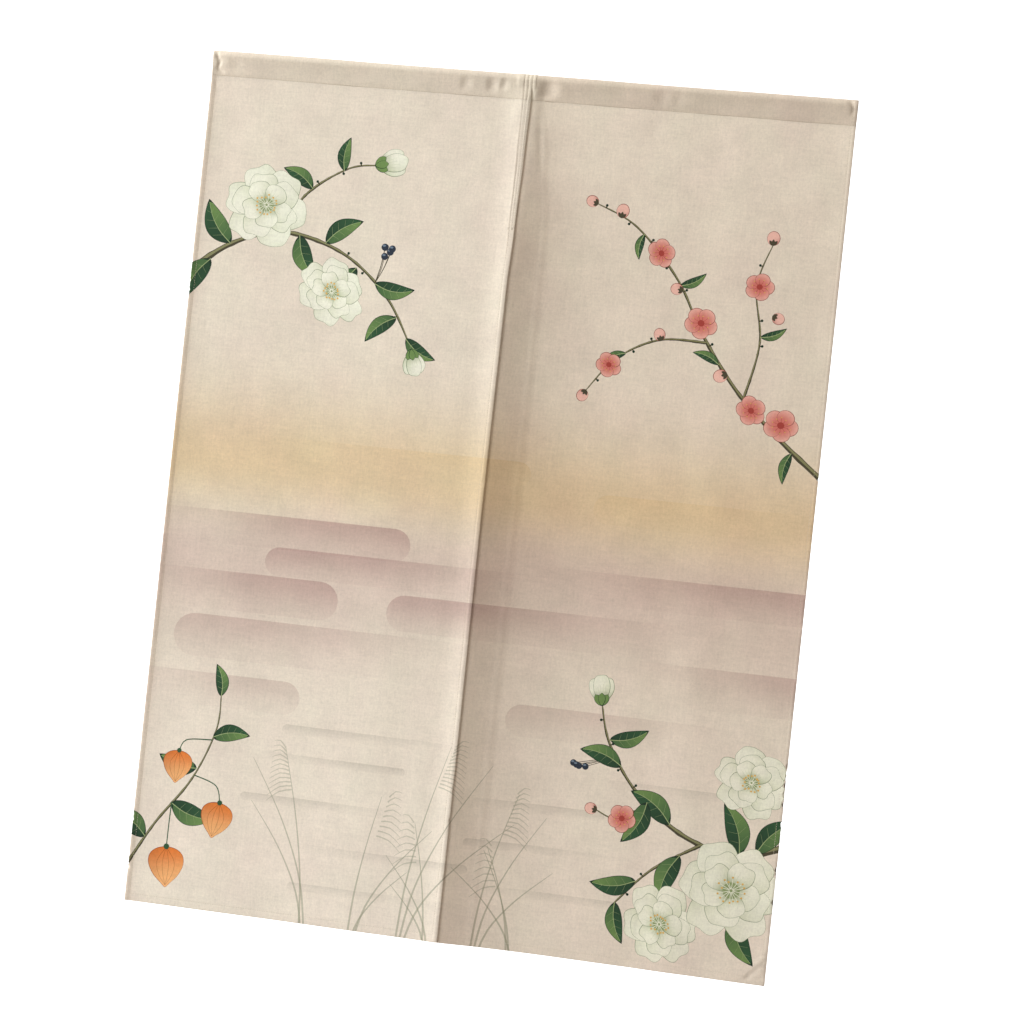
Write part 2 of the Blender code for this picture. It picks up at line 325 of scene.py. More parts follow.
def petal(spot, length, width, notch=0.05, ruffle=0.03):
    deep, shade, pale, line = (inks[name] for name in ("petalDeep", "petalShade", "petal", "petalLine"))

    def paint(p):
        # deep at the foot, shaded down one side, pale towards the tip
        u, v = p[:, 0] / length, p[:, 1] / width * 2
        colour = mix(deep, pale, smoothStep(u / 0.62))
        colour = mix(colour, shade, 0.55 * smoothStep(0.2 + 0.75 * v) * smoothStep(1.3 - u))
        return mix(colour, shade, 0.35 * smoothStep((u - 0.86) / 0.2))

    outlined(petalShape(length, width, notch, ruffle), spot, line, paint)
    for across in (-0.42, -0.14, 0.16, 0.44):
        reach = length * hand.uniform(0.5, 0.72)
        path = [(0.16 * length, 0.3 * across * width / 2), (0.45 * length, 0.8 * across * width / 2),
                (reach, across * width / 2)]
        stroke(path, spot, shade, 0.55, 0.25, 0.6, 6.0)


bloomRings = [
    # petals, length, width and turn of each ring, as shares of the bloom's radius and of the ring's pitch
    {"petals": 6, "length": 1.00, "width": 0.92, "turn": 0.0},
    {"petals": 5, "length": 0.80, "width": 0.78, "turn": 0.4},
    {"petals": 5, "length": 0.58, "width": 0.60, "turn": 0.1},
]


def camellia(at, radius, turn, flat=1.0):
    # rings of petals from the outside in, then a brush of stamens
    spot = place(at, turn, (1.0, flat))
    for ring in bloomRings:
        pitch = 360.0 / ring["petals"]
        for k in range(ring["petals"]):
            angle = (k + ring["turn"]) * pitch + hand.uniform(-6.0, 6.0)
            length = radius * ring["length"] * hand.uniform(0.94, 1.05)
            petal(place((0.0, 0.0), angle, within=spot), length, radius * ring["width"])
    lay(discShape(radius * 0.16), spot, inks["petalDeep"])
    for k in range(16):
        angle = k * 22.5 + hand.uniform(-5.0, 5.0)
        reach = radius * hand.uniform(0.17, 0.26)
        tine = place((0.0, 0.0), angle, within=spot)
        path = [(radius * 0.03, 0.0), (reach / 2, 0.3), (reach, 0.0)]
        stroke(path, tine, inks["petal"], 0.9, 0.6, 1.0, 4.0)
        lay(discShape(1.5, 8), place((reach, 0.0), 0.0, within=tine), inks["pollen"])


def camelliaBud(at, size, turn):
    # three petals folded over each other, held by green scales
    spot = place(at, turn)
    for angle, length, width in ((-16.0, 0.92, 0.66), (16.0, 0.92, 0.66), (0.0, 1.0, 0.7)):
        petal(place((0.0, 0.0), angle, within=spot), size * length, size * width, 0.0, 0.02)
    for angle in (-30.0, 28.0, 0.0):
        scale = place((-size * 0.08, 0.0), angle, within=spot)
        shape = petalShape(size * 0.42, size * 0.3, -0.08, 0.0, 24)
        outlined(shape, scale, inks["leafLine"], inks["leafLight"])


def plum(at, radius, turn, flat=1.0):
    # five round petals, a dark eye and fine stamens
    spot = place(at, turn, (1.0, flat))

    def paint(p):
        return mix(inks["coral"], inks["coralPale"], smoothStep(np.hypot(p[:, 0], p[:, 1]) / radius - 0.25))

    for k in range(5):
        outline = discShape(radius * 0.46, 26) * (1.0, 1.08) + (radius * 0.52, 0.0)
        outlined(outline, place((0.0, 0.0), 72.0 * k, within=spot), inks["coralLine"], paint, 0.7)
    lay(discShape(radius * 0.2, 12), spot, inks["coralDeep"])
    for k in range(10):
        tine = place((0.0, 0.0), 36.0 * k + 9.0, within=spot)
        reach = radius * hand.uniform(0.42, 0.56)
        stroke([(0.0, 0.0), (reach / 2, 0.2), (reach, 0.0)], tine, inks["coralDeep"], 0.55, 0.4, 0.9, 5.0)
        lay(discShape(0.9, 6), place((reach, 0.0), within=tine), inks["pollen"])


def plumBud(at, radius, turn):
    spot = place(at, turn)

    def paint(p):
        lit = (p[:, 0] - 0.6 * p[:, 1]) / radius / 2
        return mix(inks["coralPale"], inks["coralDeep"], smoothStep(0.5 - lit))

    outlined(discShape(radius, 22) * (1.1, 1.0) + (radius, 0.0), spot, inks["coralLine"], paint, 0.7)
    for angle in (-38.0, 0.0, 38.0):
        scale = place((-1.0, 0.0), angle, within=spot)
        lay(petalShape(radius * 0.9, radius * 0.55, -0.1, 0.0, 16), scale, inks["twig"])


def leaf(at, length, width, turn, bend=0.08):
    # a pointed blade on a bent rib, one half lit and one dark, with side veins
    spot = place(at, turn)
    s = np.linspace(0.0, 1.0, 19)
    half = width / 2 * np.sin(np.pi * s ** 0.8) ** 0.85
    rib = np.stack([s * length, 4 * bend * length * s * (1 - s)], 1)
    upper = rib + np.stack([np.zeros_like(s), half], 1)
    lower = rib - np.stack([np.zeros_like(s), half], 1)

    def lit(p):
        return mix(inks["leaf"], inks["leafLight"], 0.25 + 0.7 * smoothStep(p[:, 0] / length * 1.1))

    def dark(p):
        return mix(inks["leafLine"], inks["leaf"], 0.35 + 0.75 * smoothStep(p[:, 0] / length))

    lay(np.concatenate([upper, lower[-2:0:-1]]), spot, inks["leafLine"])
    lay(np.concatenate([rib[1:-1], (lower + (0.0, 0.7))[-3:1:-1]]), spot, dark)
    lay(np.concatenate([(upper - (0.0, 0.7))[2:-2], rib[-2:0:-1]]), spot, lit)
    stroke([rib[0], rib[6], rib[12], rib[17]], spot, inks["leafRib"], 1.1, 0.4, 0.9, 5.0)
    for k in (4, 7, 10, 13):
        for edge in (upper, lower):
            tip = rib[k] + (edge[k + 2] - rib[k]) * 0.78
            stroke([rib[k], (rib[k] + tip) / 2, tip], spot, inks["leafRib"], 0.5, 0.3, 0.45, 6.0)


def bough(points, wide, thin, buds=()):
    # a tapered stroke with knots, lit along its upper side, and small buds on spurs
    path = smoothPath(points, 3.5)
    s = np.linspace(0.0, 1.0, len(path))
    knots = 1.0 + 0.22 * np.sin(s * 41.0 + points[0][0]) ** 8 + 0.1 * np.sin(s * 17.0)
    widths = (wide + (thin - wide) * s) * knots
    flat = place((0.0, 0.0))
    lay(strokeShape(path, widths), flat, inks["twig"])
    tangent = np.gradient(path, axis=0)
    up = np.stack([tangent[:, 1], -tangent[:, 0]], 1) / np.linalg.norm(tangent, axis=1)[:, None]
    up *= np.sign(-up[:, 1:2] + 1e-6)
    lay(strokeShape(path + up * widths[:, None] * 0.16, widths * 0.42), flat, inks["twigLight"], 0.85)
    for share, side in buds:
        k = int(share * (len(path) - 1))
        tip = path[k] + up[k] * side * (widths[k] / 2 + 2.6)
        stroke([path[k], (path[k] + tip) / 2 + 0.2, tip], flat, inks["twig"], 2.0, 1.5, 1.0, 4.0)
        lay(discShape(1.9, 10), place(tip), inks["leafLine"])
    return path


def lantern(at, length, turn):
    # a papery husk: round shoulders drawn to a point, ribbed from stalk to tip
    spot = place(at, turn)
    t = np.linspace(0.0, 2 * np.pi, 46, endpoint=False)
    along = (1.0 - np.cos(t)) / 2 + 0.1 * np.exp(-((t - np.pi) / 0.3) ** 2)
    across = np.sin(t) * (1.0 - 0.45 * along) * 0.62
    outline = np.stack([along, across], 1) * length

    def paint(p):
        shaded = mix(inks["amber"], inks["amberPale"], smoothStep(p[:, 0] / length * 1.1))
        return mix(shaded, inks["amberLine"], 0.25 * smoothStep(p[:, 1] / length * 2.4))

    outlined(outline, spot, inks["amberLine"], paint, 0.8)
    for v in (-0.3, -0.1, 0.12, 0.32):
        path = [(0.02 * length, 0.0), (0.4 * length, v * length * 0.78), (0.75 * length, v * length * 0.6),
                (1.04 * length, 0.0)]
        stroke(path, spot, inks["amberLine"], 0.7, 0.4, 0.7, 5.0)
    lay(discShape(length * 0.08, 12), spot, inks["leaf"])


def berries(at, count, radius, stalk):
    # on thin stalks from one point of the twig
    places = []
    for _ in range(count):
        places.append((at[0] + hand.uniform(-1.9, 1.9) * radius, at[1] + hand.uniform(-1.6, 1.6) * radius))
    for x, y in places:
        bend = ((x + stalk[0]) / 2 + 1.5, (y + stalk[1]) / 2 + 1.0)
        stroke([stalk, bend, (x, y)], place((0.0, 0.0)), inks["twig"], 1.0, 0.8, 1.0, 4.0)
    for x, y in places:
        spot = place((x, y))
        lay(discShape(radius, 18), spot, inks["berry"])
        shine = discShape(radius * 0.42, 10) * (1.2, 0.7) - (radius * 0.25, radius * 0.4)
        lay(shine, spot, inks["berryShine"], 0.7)


def mistBar(ink, left, right, drop, thick, strong, fadeTo):
    # a long bar with round ends, its ink thinning towards one end and downwards
    r = thick / 2
    arc = np.linspace(-np.pi / 2, np.pi / 2, 12)
    cap = np.stack([np.cos(arc), np.sin(arc)], 1) * r
    outline = np.concatenate([cap + (right - r, drop), -cap + (left + r, drop)])

    def cover(p):
        along = (p[:, 0] - left) / (right - left)
        along = along if fadeTo == "left" else 1.0 - along
        down = (p[:, 1] - drop + r) / thick
        return strong * smoothStep(along * 1.25) * (1.0 - 0.78 * smoothStep(down))

    lay(outline, place((0.0, 0.0)), inks[ink], cover)


def reeds(x, top, lean, plume):
    # blades in long curves from the foot of the cloth, and a drooping plume at the tallest
    flat = place((0.0, 0.0))
    foot = curtain["drop"] + 20.0
    for k in range(3):
        reach = top + (foot - top) * hand.uniform(0.0, 0.5) * (k > 0)
        sway = lean * (1.0 + 0.7 * k) + hand.uniform(-14.0, 14.0)
        path = [(x + 4 * k, foot), (x + 4 * k + sway * 0.15, (foot * 2 + reach) / 3),
                (x + 4 * k + sway * 0.5, (foot + reach * 2) / 3), (x + 4 * k + sway, reach)]
        stroke(path, flat, inks["reed"], 3.2, 0.7, 0.56, 12.0)
    tip = np.array([x + lean, top])
    for k in range(plume):
        s = k / plume
        start = tip + (-0.35 * lean * s, 62.0 * s)
        end = start + (math.copysign(17.0 + 20.0 * s, lean), -8.0 + 30.0 * s)
        stroke([start, (start + end) / 2 + (0.0, -5.0), end], flat, inks["reed"], 2.2, 0.7, 0.42, 7.0)


# the dyed ground: cream, a peach glow and a rose haze under it, paler towards the foot
dyedGround = {
    "paleFrom": 700.0, "paleOver": 400.0,
    "bands": [
        {"ink": "peach", "strength": 0.80, "drop": 578.0, "above": 96.0, "below": 66.0,
         "wave": 10.0, "length": 210.0, "start": 0.0},
        {"ink": "rose", "strength": 0.50, "drop": 690.0, "above": 54.0, "below": 112.0,
         "wave": -16.0, "length": 170.0, "start": 1.0},
    ],
}


def groundPaint(x, drop):
    # each band is a bell across its waving middle line, with a reach of its own above and below
    pale = smoothStep((drop - dyedGround["paleFrom"]) / dyedGround["paleOver"])
    colour = mix(inks["cream"], inks["creamLow"], pale)
    for band in dyedGround["bands"]:
        away = drop - band["drop"] - band["wave"] * np.sin(x / band["length"] + band["start"])
        share = np.exp(-(away / np.where(away < 0.0, band["above"], band["below"])) ** 2)
        colour = mix(colour, inks[band["ink"]], band["strength"] * share)
    return colour


def drawMist():
    # for each ink: left, right, drop, thickness, strength and the end it fades to
    bars = {
        "mauve": [
            (-520.0, -96.0, 664.0, 46.0, 0.70, "left"), (-300.0, 118.0, 704.0, 40.0, 0.68, "right"),
            (20.0, 520.0, 692.0, 44.0, 0.60, "left"), (-500.0, -190.0, 752.0, 54.0, 0.66, "left"),
            (-120.0, 330.0, 756.0, 50.0, 0.58, "right"), (190.0, 540.0, 812.0, 56.0, 0.52, "left"),
            (-420.0, 40.0, 818.0, 60.0, 0.44, "right"), (-540.0, -230.0, 892.0, 46.0, 0.34, "left"),
            (60.0, 400.0, 884.0, 44.0, 0.34, "right"),
        ],
        "peach": [(-380.0, 60.0, 548.0, 34.0, 0.60, "left"), (150.0, 520.0, 584.0, 40.0, 0.62, "right")],
        "haze": [
            (-250.0, 60.0, 934.0, 13.0, 0.34, "right"), (110.0, 470.0, 956.0, 12.0, 0.32, "left"),
            (-330.0, -70.0, 974.0, 11.0, 0.36, "left"), (-40.0, 210.0, 1002.0, 13.0, 0.34, "left"),
            (-300.0, -20.0, 1034.0, 12.0, 0.36, "right"), (20.0, 250.0, 1058.0, 11.0, 0.32, "right"),
            (-260.0, 30.0, 1096.0, 12.0, 0.30, "left"), (-10.0, 240.0, 1120.0, 11.0, 0.28, "left"),
            (-220.0, 90.0, 1150.0, 11.0, 0.24, "right"),
        ],
    }
    for ink, rows in bars.items():
        for row in rows:
            mistBar(ink, *row)


def drawReeds():
    # x at the foot, the tip's drop, lean, barbs of the plume
    for row in ((-196.0, 960.0, -46.0, 12), (-128.0, 1010.0, 40.0, 9), (-60.0, 930.0, 58.0, 13),
                (-20.0, 1040.0, -30.0, 8), (44.0, 985.0, 44.0, 11), (96.0, 1060.0, -36.0, 8)):
        reeds(*row)


def each(motif, rows):
    # one motif for each row of its own values
    for row in rows:
        motif(*row)


def drawCamelliaBough():
    # from the left edge, arching over and down
    bough([(-462.0, 318.0), (-396.0, 268.0), (-322.0, 246.0), (-236.0, 268.0), (-168.0, 322.0),
           (-124.0, 392.0)],
          8.0, 2.2, ((0.62, 1), (0.7, -1), (0.8, 1), (0.88, -1), (0.96, 1)))
    bough([(-330.0, 247.0), (-296.0, 190.0), (-240.0, 150.0), (-196.0, 142.0)],
          4.6, 1.8, ((0.5, 1), (0.7, -1), (0.85, 1)))
    each(leaf, [
        ((-424.0, 292.0), 66.0, 30.0, 118.0, 0.1), ((-398.0, 268.0), 70.0, 32.0, -122.0, -0.1),
        ((-300.0, 248.0), 64.0, 28.0, 64.0, 0.1), ((-262.0, 256.0), 62.0, 27.0, -34.0, -0.1),
        ((-214.0, 286.0), 66.0, 28.0, 112.0, 0.1), ((-186.0, 306.0), 58.0, 24.0, 4.0, 0.12),
        ((-150.0, 350.0), 56.0, 23.0, 138.0, 0.1), ((-134.0, 378.0), 52.0, 21.0, 30.0, 0.1),
        ((-288.0, 182.0), 52.0, 22.0, -150.0, 0.1), ((-246.0, 154.0), 48.0, 19.0, -84.0, -0.1),
    ])
    camellia((-352.0, 210.0), 64.0, 12.0, 0.92)
    camellia((-246.0, 322.0), 52.0, 40.0, 0.86)
    camelliaBud((-200.0, 142.0), 44.0, -12.0)
    camelliaBud((-124.0, 394.0), 36.0, 74.0)
    berries((-172.0, 262.0), 5, 5.0, (-186.0, 306.0))


def drawPlumTwigs():
    # from the right edge, up and to the left, and a short one below
    bough([(462.0, 520.0), (398.0, 470.0), (330.0, 408.0), (274.0, 334.0), (232.0, 262.0), (170.0, 196.0),
           (112.0, 168.0)],
          7.0, 1.6, ((0.5, 1), (0.56, -1), (0.66, 1), (0.74, -1), (0.82, 1), (0.9, -1), (0.97, 1)))
    bough([(280.0, 344.0), (216.0, 346.0), (160.0, 376.0), (122.0, 424.0)], 3.8, 1.4,
          ((0.4, 1), (0.55, -1), (0.7, 1), (0.88, -1)))
    bough([(338.0, 416.0), (352.0, 338.0), (340.0, 262.0), (356.0, 204.0)], 3.6, 1.4,
          ((0.35, -1), (0.5, 1), (0.68, -1), (0.84, 1)))
    for at, length, turn in (
            ((300.0, 372.0), 40.0, -160.0), ((236.0, 270.0), 40.0, -30.0), ((180.0, 204.0), 36.0, 96.0),
            ((352.0, 330.0), 38.0, -24.0), ((172.0, 368.0), 36.0, 150.0), ((410.0, 482.0), 44.0, 100.0)):
        leaf(at, length, length * 0.34, turn, 0.1)
    each(plum, [
        ((392.0, 446.0), 25.0, 10.0, 0.92), ((350.0, 430.0), 22.0, 40.0, 0.92),
        ((270.0, 318.0), 24.0, 20.0, 0.92), ((344.0, 262.0), 21.0, 0.0, 0.92),
        ((206.0, 228.0), 21.0, 60.0, 0.92), ((150.0, 386.0), 19.0, 30.0, 0.92),
    ])
    each(plumBud, [
        ((112.0, 168.0), 8.0, 200.0), ((146.0, 184.0), 9.0, 280.0), ((122.0, 424.0), 8.0, 120.0),
        ((356.0, 204.0), 9.0, 270.0), ((366.0, 300.0), 8.0, 20.0), ((218.0, 346.0), 8.0, 250.0),
        ((312.0, 384.0), 9.0, 160.0), ((240.0, 276.0), 8.0, 190.0),
    ])


def drawFootBough():
    # camellias from the lower right corner
    bough([(462.0, 1010.0), (392.0, 1030.0), (318.0, 1012.0), (250.0, 962.0), (206.0, 900.0), (190.0, 846.0)],
          9.0, 2.0, ((0.66, 1), (0.74, -1), (0.84, 1), (0.93, -1)))
    bough([(346.0, 1022.0), (282.0, 1064.0), (232.0, 1120.0)], 4.6, 2.0, ((0.6, 1), (0.8, -1)))
    bough([(272.0, 982.0), (244.0, 990.0), (224.0, 1002.0), (196.0, 992.0)], 3.0, 1.4)
    berries((168.0, 930.0), 4, 4.6, (216.0, 916.0))
    each(leaf, [
        ((300.0, 1000.0), 70.0, 31.0, -146.0, 0.1), ((266.0, 974.0), 66.0, 28.0, 118.0, -0.1),
        ((226.0, 930.0), 62.0, 26.0, -164.0, 0.1), ((206.0, 896.0), 56.0, 23.0, -20.0, 0.1),
        ((262.0, 1082.0), 64.0, 27.0, 172.0, -0.1), ((236.0, 1114.0), 58.0, 24.0, 74.0, 0.1),
        ((398.0, 1030.0), 74.0, 33.0, -112.0, 0.1), ((420.0, 1024.0), 70.0, 30.0, -44.0, -0.1),
        ((318.0, 1040.0), 70.0, 30.0, 108.0, 0.1), ((398.0, 1112.0), 72.0, 31.0, 62.0, 0.1),
    ])
    camellia((404.0, 930.0), 54.0, 20.0, 0.9)
    camellia((300.0, 1136.0), 58.0, 55.0, 0.9)
    camellia((392.0, 1078.0), 74.0, 5.0, 0.94)
    camelliaBud((190.0, 848.0), 40.0, -96.0)
    plum((234.0, 1000.0), 20.0, 15.0)
    plumBud((198.0, 993.0), 8.0, 190.0)


def drawLanterns():
    # husks on a thin stem from the lower left
    bough([(-462.0, 1168.0), (-420.0, 1090.0), (-372.0, 1020.0), (-344.0, 948.0), (-342.0, 896.0)], 4.6, 1.6)
    each(leaf, [
        ((-430.0, 1108.0), 62.0, 30.0, -150.0, 0.1), ((-398.0, 1056.0), 66.0, 31.0, 14.0, 0.1),
        ((-366.0, 1004.0), 58.0, 27.0, -166.0, -0.1), ((-348.0, 958.0), 54.0, 24.0, -8.0, -0.1),
        ((-342.0, 900.0), 46.0, 19.0, -104.0, 0.1),
    ])
    flat = place((0.0, 0.0))
    for joint, at, length, turn in (
            ((-397.0, 1055.0), (-398.0, 1118.0), 52.0, 86.0),
            ((-368.0, 1014.0), (-328.0, 1048.0), 46.0, 98.0),
            ((-348.0, 962.0), (-394.0, 982.0), 42.0, 92.0)):
        bend = ((at[0] * 1.6 + joint[0] * 0.4) / 2, (at[1] + joint[1]) / 2 - 6.0)
        stroke([joint, bend, at], flat, inks["leaf"], 1.7, 1.4, 1.0, 4.0)
        lantern(at, length, turn)


drawMist()
drawReeds()
drawCamelliaBough()
drawPlumTwigs()
drawFootBough()
drawLanterns()
print(f"print: {len(inkLayers)} layers of ink")


# Turning a hem: the cloth runs to the edge, round a half circle, and back behind itself.

hems = {
    "turn": 0.53,           # radius at the printed face, side hems
    "footTurn": 0.58,       # the same at the foot, between the corners
    "cornerTurn": 1.16,     # at the foot's corners, round the side hems
    "cornerReach": 14.0,
    "outer": 8.0, "inner": 9.0, "foot": 12.0,              # widths turned back
    "outerRow": 6.4, "innerRow": 7.4, "footRow": 10.2,     # stitch rows, in from the edge
    "pinch": 0.14, "pinchHalf": 1.5,                       # how the stitching draws the layers together
    "stitch": 3.4,                                         # from one stitch to the next
}


def turnHem(position, depth, edge, radius):
    # position counts outwards; past edge - radius it goes round by angle, and from half a turn it runs back
    beyond = position - (edge - radius)
    angle = np.clip(beyond / radius, 0.0, np.pi)
    reach = radius - depth
    turned = (edge - radius) + reach * np.sin(angle) - np.clip(beyond - np.pi * radius, 0.0, None)
    placed = np.where(beyond <= 0.0, position, turned)
    return placed, np.where(beyond <= 0.0, depth, radius - reach * np.cos(angle))


# closer: columns nearer each other beside the split, each as first, end and step
panels = {
    "leftPanel": {"side": -1, "node": "left_panel", "inner": 0.0, "step": 6.8,
                  "closer": [(-27.0, -15.0, 3.0), (-15.0, -1.0, 0.85)]},
    "rightPanel": {"side": 1, "node": "right_panel", "inner": -curtain["lap"], "step": 8.8,
                   "closer": [(8.0, 60.0, 2.6)]},
}
lattice = {
    "gap": 0.3,                                                  # between one column or row and the next
    "clear": 4.0, "clearEnd": 3.0,                               # even places start and end inside the edges
    "folds": {"out": 0.3, "reach": 1.2, "footReach": 2.2},       # where outlines cross a hem's half circle
    "top": np.array([0.35, 0.8, 2.0, 5.0]),                      # rows just below the seam
    "corner": ((410.5, 446.0, 3.0), (1150.7, 1193.0, 3.0)),      # more points where the corner is creased
}
# stitch rows down the joint, in from the left panel's edge; they draw together on the way down
lapRows = {"offsets": (1.8, 5.6, 10.2), "drawn": 0.3, "groove": 0.28, "half": 1.8, "end": 12.0,
           "bar": (-11.5, -1.5), "barStep": 0.6}
edgeShift = {"left": 70.0, "right": 90.0}      # the width that gives way as an inner edge leaves the middle
panelTop = curtain["seam"] - 1.6


def stitchWave(position):
    # 1 at each stitch's hole, 0 at its middle
    return 0.5 + 0.5 * np.cos(2 * np.pi * position / hems["stitch"])


def pinchWave(position):
    # the stitching draws the cloth in most at its holes
    return 0.65 + 0.35 * stitchWave(position)


def lapOffset(offset, drop):
    down = (drop - curtain["seam"]) / (curtain["sewn"] - curtain["seam"])
    return offset * (1.0 - lapRows["drawn"] * smoothStep(down))


def panelPoint(panel, across, down, depth):
    # side hems first, then the foot, then the folds in which the cloth hangs
    side, inner, half = panel["side"], panel["inner"], curtain["half"]
    outerPlace, y = turnHem(side * across, depth, half, hems["turn"])
    x = side * outerPlace
    innerPlace, y = turnHem(-side * x, y, -side * inner, hems["turn"])
    x = -side * innerPlace
    turnedBack = y > hems["turn"]
    fromOuter, fromInner = half - side * x, side * (x - inner)
    flatness = smoothStep(np.minimum(fromOuter, fromInner) / hems["cornerReach"])
    radius = hems["cornerTurn"] + (hems["footTurn"] - hems["cornerTurn"]) * flatness
    drop, y = turnHem(down, y, curtain["drop"], radius)
    sideRows = swell(fromOuter - hems["outerRow"], hems["pinchHalf"])
    sideRows = sideRows + swell(fromInner - hems["innerRow"], hems["pinchHalf"])
    footRow = swell(curtain["drop"] - drop - hems["footRow"], hems["pinchHalf"])
    drawn = (sideRows * pinchWave(drop) * np.where(turnedBack, -1.0, 1.0)
             + footRow * pinchWave(x) * np.where(y > radius, -1.0, 1.0))
    y = y + hems["pinch"] * drawn
    edge = splitAt("edge", drop)
    if side < 0:
        sewn = 1.0 - smoothStep((drop - curtain["sewn"]) / lapRows["end"] + 0.5)
        for offset in lapRows["offsets"]:
            y = y + lapRows["groove"] * sewn * swell(x + lapOffset(offset, drop), lapRows["half"])
        x = x + edge * smoothStep(1.0 + x / edgeShift["left"])
    else:
        x = x + edge * (1.0 - smoothStep((x - inner) / edgeShift["right"]))
    return np.stack([x, y - forwardOf(side, x, drop), -drop], -1) * toMetres


def spread(parts, gap):
    # sorted places, with any closer than the gap to the one before left out
    values = np.sort(np.concatenate([np.atleast_1d(part) for part in parts]))
    kept = [values[0]]
    for value in values[1:]:
        if value - kept[-1] > gap:
            kept.append(value)
    kept[-1] = values[-1]
    return np.array(kept)


def turnedPlace(edge, turn, row):
    # where on the flat cloth a row lies once the hem is turned back
    return edge - turn + np.pi * turn + (row - turn)


def hemPlaces(edge, turn, width, row):
    # places counted outwards: the stitch row, the half circle, the part turned back and the row's holes there
    arc = edge - turn + np.linspace(0.0, np.pi, 7) * turn
    back = arc[-1] + np.linspace(0.0, width, 3)
    return [edge - row + np.linspace(-2.0, 2.0, 5), arc, back,
            turnedPlace(edge, turn, row) + np.linspace(-1.5, 1.5, 3)]


def gridPoints(across, down):
    gridX, gridY = np.meshgrid(across, down)
    return np.stack([gridX.ravel(), gridY.ravel()], 1)


def panelLattice(panel):
    side, inner, half = panel["side"], panel["inner"], curtain["half"]
    # counted outwards on each side, so the inner edge's places are turned about
    outer = [side * part for part in hemPlaces(half, hems["turn"], hems["outer"], hems["outerRow"])]
    within = hemPlaces(-side * inner, hems["turn"], hems["inner"], hems["innerRow"])
    within = [-side * part for part in within]
    low, high = sorted((side * half, inner))
    plain = np.arange(low + lattice["clear"], high - lattice["clearEnd"], panel["step"])
    closer = [np.arange(*places) for places in panel["closer"]]
    across = spread([*outer, *within, plain, *closer], lattice["gap"])
    foot = hemPlaces(curtain["drop"], hems["cornerTurn"], hems["foot"], hems["footRow"])
    rows = np.arange(panelTop, curtain["drop"] - lattice["clear"], panel["step"])
    down = spread([rows, panelTop + lattice["top"], *foot], lattice["gap"])
    points = gridPoints(across, down)
    if side > 0:
        crossing = [np.arange(*places) for places in lattice["corner"]]
        points = np.concatenate([points, gridPoints(*crossing)])
    return across, down, points


def insideOutline(points, outline):
    # odd number of crossings of a ray to the right
    a, b = outline, np.roll(outline, -1, 0)
    x, y = points[:, 0:1], points[:, 1:2]
    spans = (a[None, :, 1] > y) != (b[None, :, 1] > y)
    rise = b[None, :, 1] - a[None, :, 1]
    slope = (b[None, :, 0] - a[None, :, 0]) / np.where(rise == 0.0, 1.0, rise)
    cross = a[None, :, 0] + (y - a[None, :, 1]) * slope
    return np.sum(spans & (x < cross), axis=1) % 2 == 1


def closerAtFolds(outline, panel):
    # shorter sides where an outline crosses a fold, so that it bends round with the cloth
    following = np.roll(outline, -1, 0)
    middle, reach = (outline + following) / 2, np.abs(following - outline) / 2
    side, folds = panel["side"], lattice["folds"]
    out = folds["out"]
    near = np.abs(middle[:, 0] - side * (curtain["half"] + out)) < reach[:, 0] + folds["reach"]
    near |= np.abs(middle[:, 0] - (panel["inner"] - side * out)) < reach[:, 0] + folds["reach"]
    near |= np.abs(middle[:, 1] - (curtain["drop"] + 2 * out)) < reach[:, 1] + folds["footReach"]
    return divided(outline, np.where(near, longestSide["atFolds"], longestSide["plain"]))


def triangulate(across, down, latticePoints, outlines):
    # the lattice's points and every ink outline as edges; only triangles inside the cloth are kept
    points = [latticePoints]
    count, edges = len(latticePoints), []
    left, right, top, foot = across[0], across[-1], down[0], down[-1]
    corners = np.array([[left, top], [right, top], [right, foot], [left, foot]])
    for outline in [corners, *outlines]:
        ring = np.arange(len(outline)) + count
        edges.append(np.stack([ring, np.roll(ring, -1)], 1))
        points.append(outline)
        count += len(outline)
    flipped = np.concatenate(points) * (1.0, -1.0)
    made = delaunay_2d_cdt([Vector(p) for p in flipped], np.concatenate(edges).tolist(), [], 0, 1e-4, False)
    plan = np.array([tuple(p) for p in made[0]]) * (1.0, -1.0)
    faces = np.array([face for face in made[2] if len(face) == 3])
    middle = plan[faces].mean(axis=1)
    inside = ((middle[:, 0] > left) & (middle[:, 0] < right)
              & (middle[:, 1] > top) & (middle[:, 1] < foot))
    faces = faces[inside]
    used, faces = np.unique(faces, return_inverse=True)
    return plan[used], faces.reshape(-1, 3)


def inkColours(plan, faces, layers):
    # each triangle's corners take the ground, then every layer whose outline holds the triangle's middle
    corners = plan[faces]
    middle = corners.mean(axis=1)
    colours = groundPaint(corners[..., 0], corners[..., 1])
    for layer in layers:
        low, high = layer["outline"].min(axis=0), layer["outline"].max(axis=0)
        near = np.nonzero(np.all((middle > low) & (middle < high), axis=1))[0]
        if not len(near):
            continue
        held = near[insideOutline(middle[near], layer["outline"])]
        if not len(held):
            continue
        local = (corners[held].reshape(-1, 2) - layer["offset"]) @ layer["inverse"].T
        paint = layer["paint"](local) if callable(layer["paint"]) else layer["paint"]
        cover = layer["cover"](local) if callable(layer["cover"]) else np.full(len(local), layer["cover"])
        below = colours[held].reshape(-1, 3)
        colours[held] = mix(below, paint, cover).reshape(-1, 3, 3)
    return colours


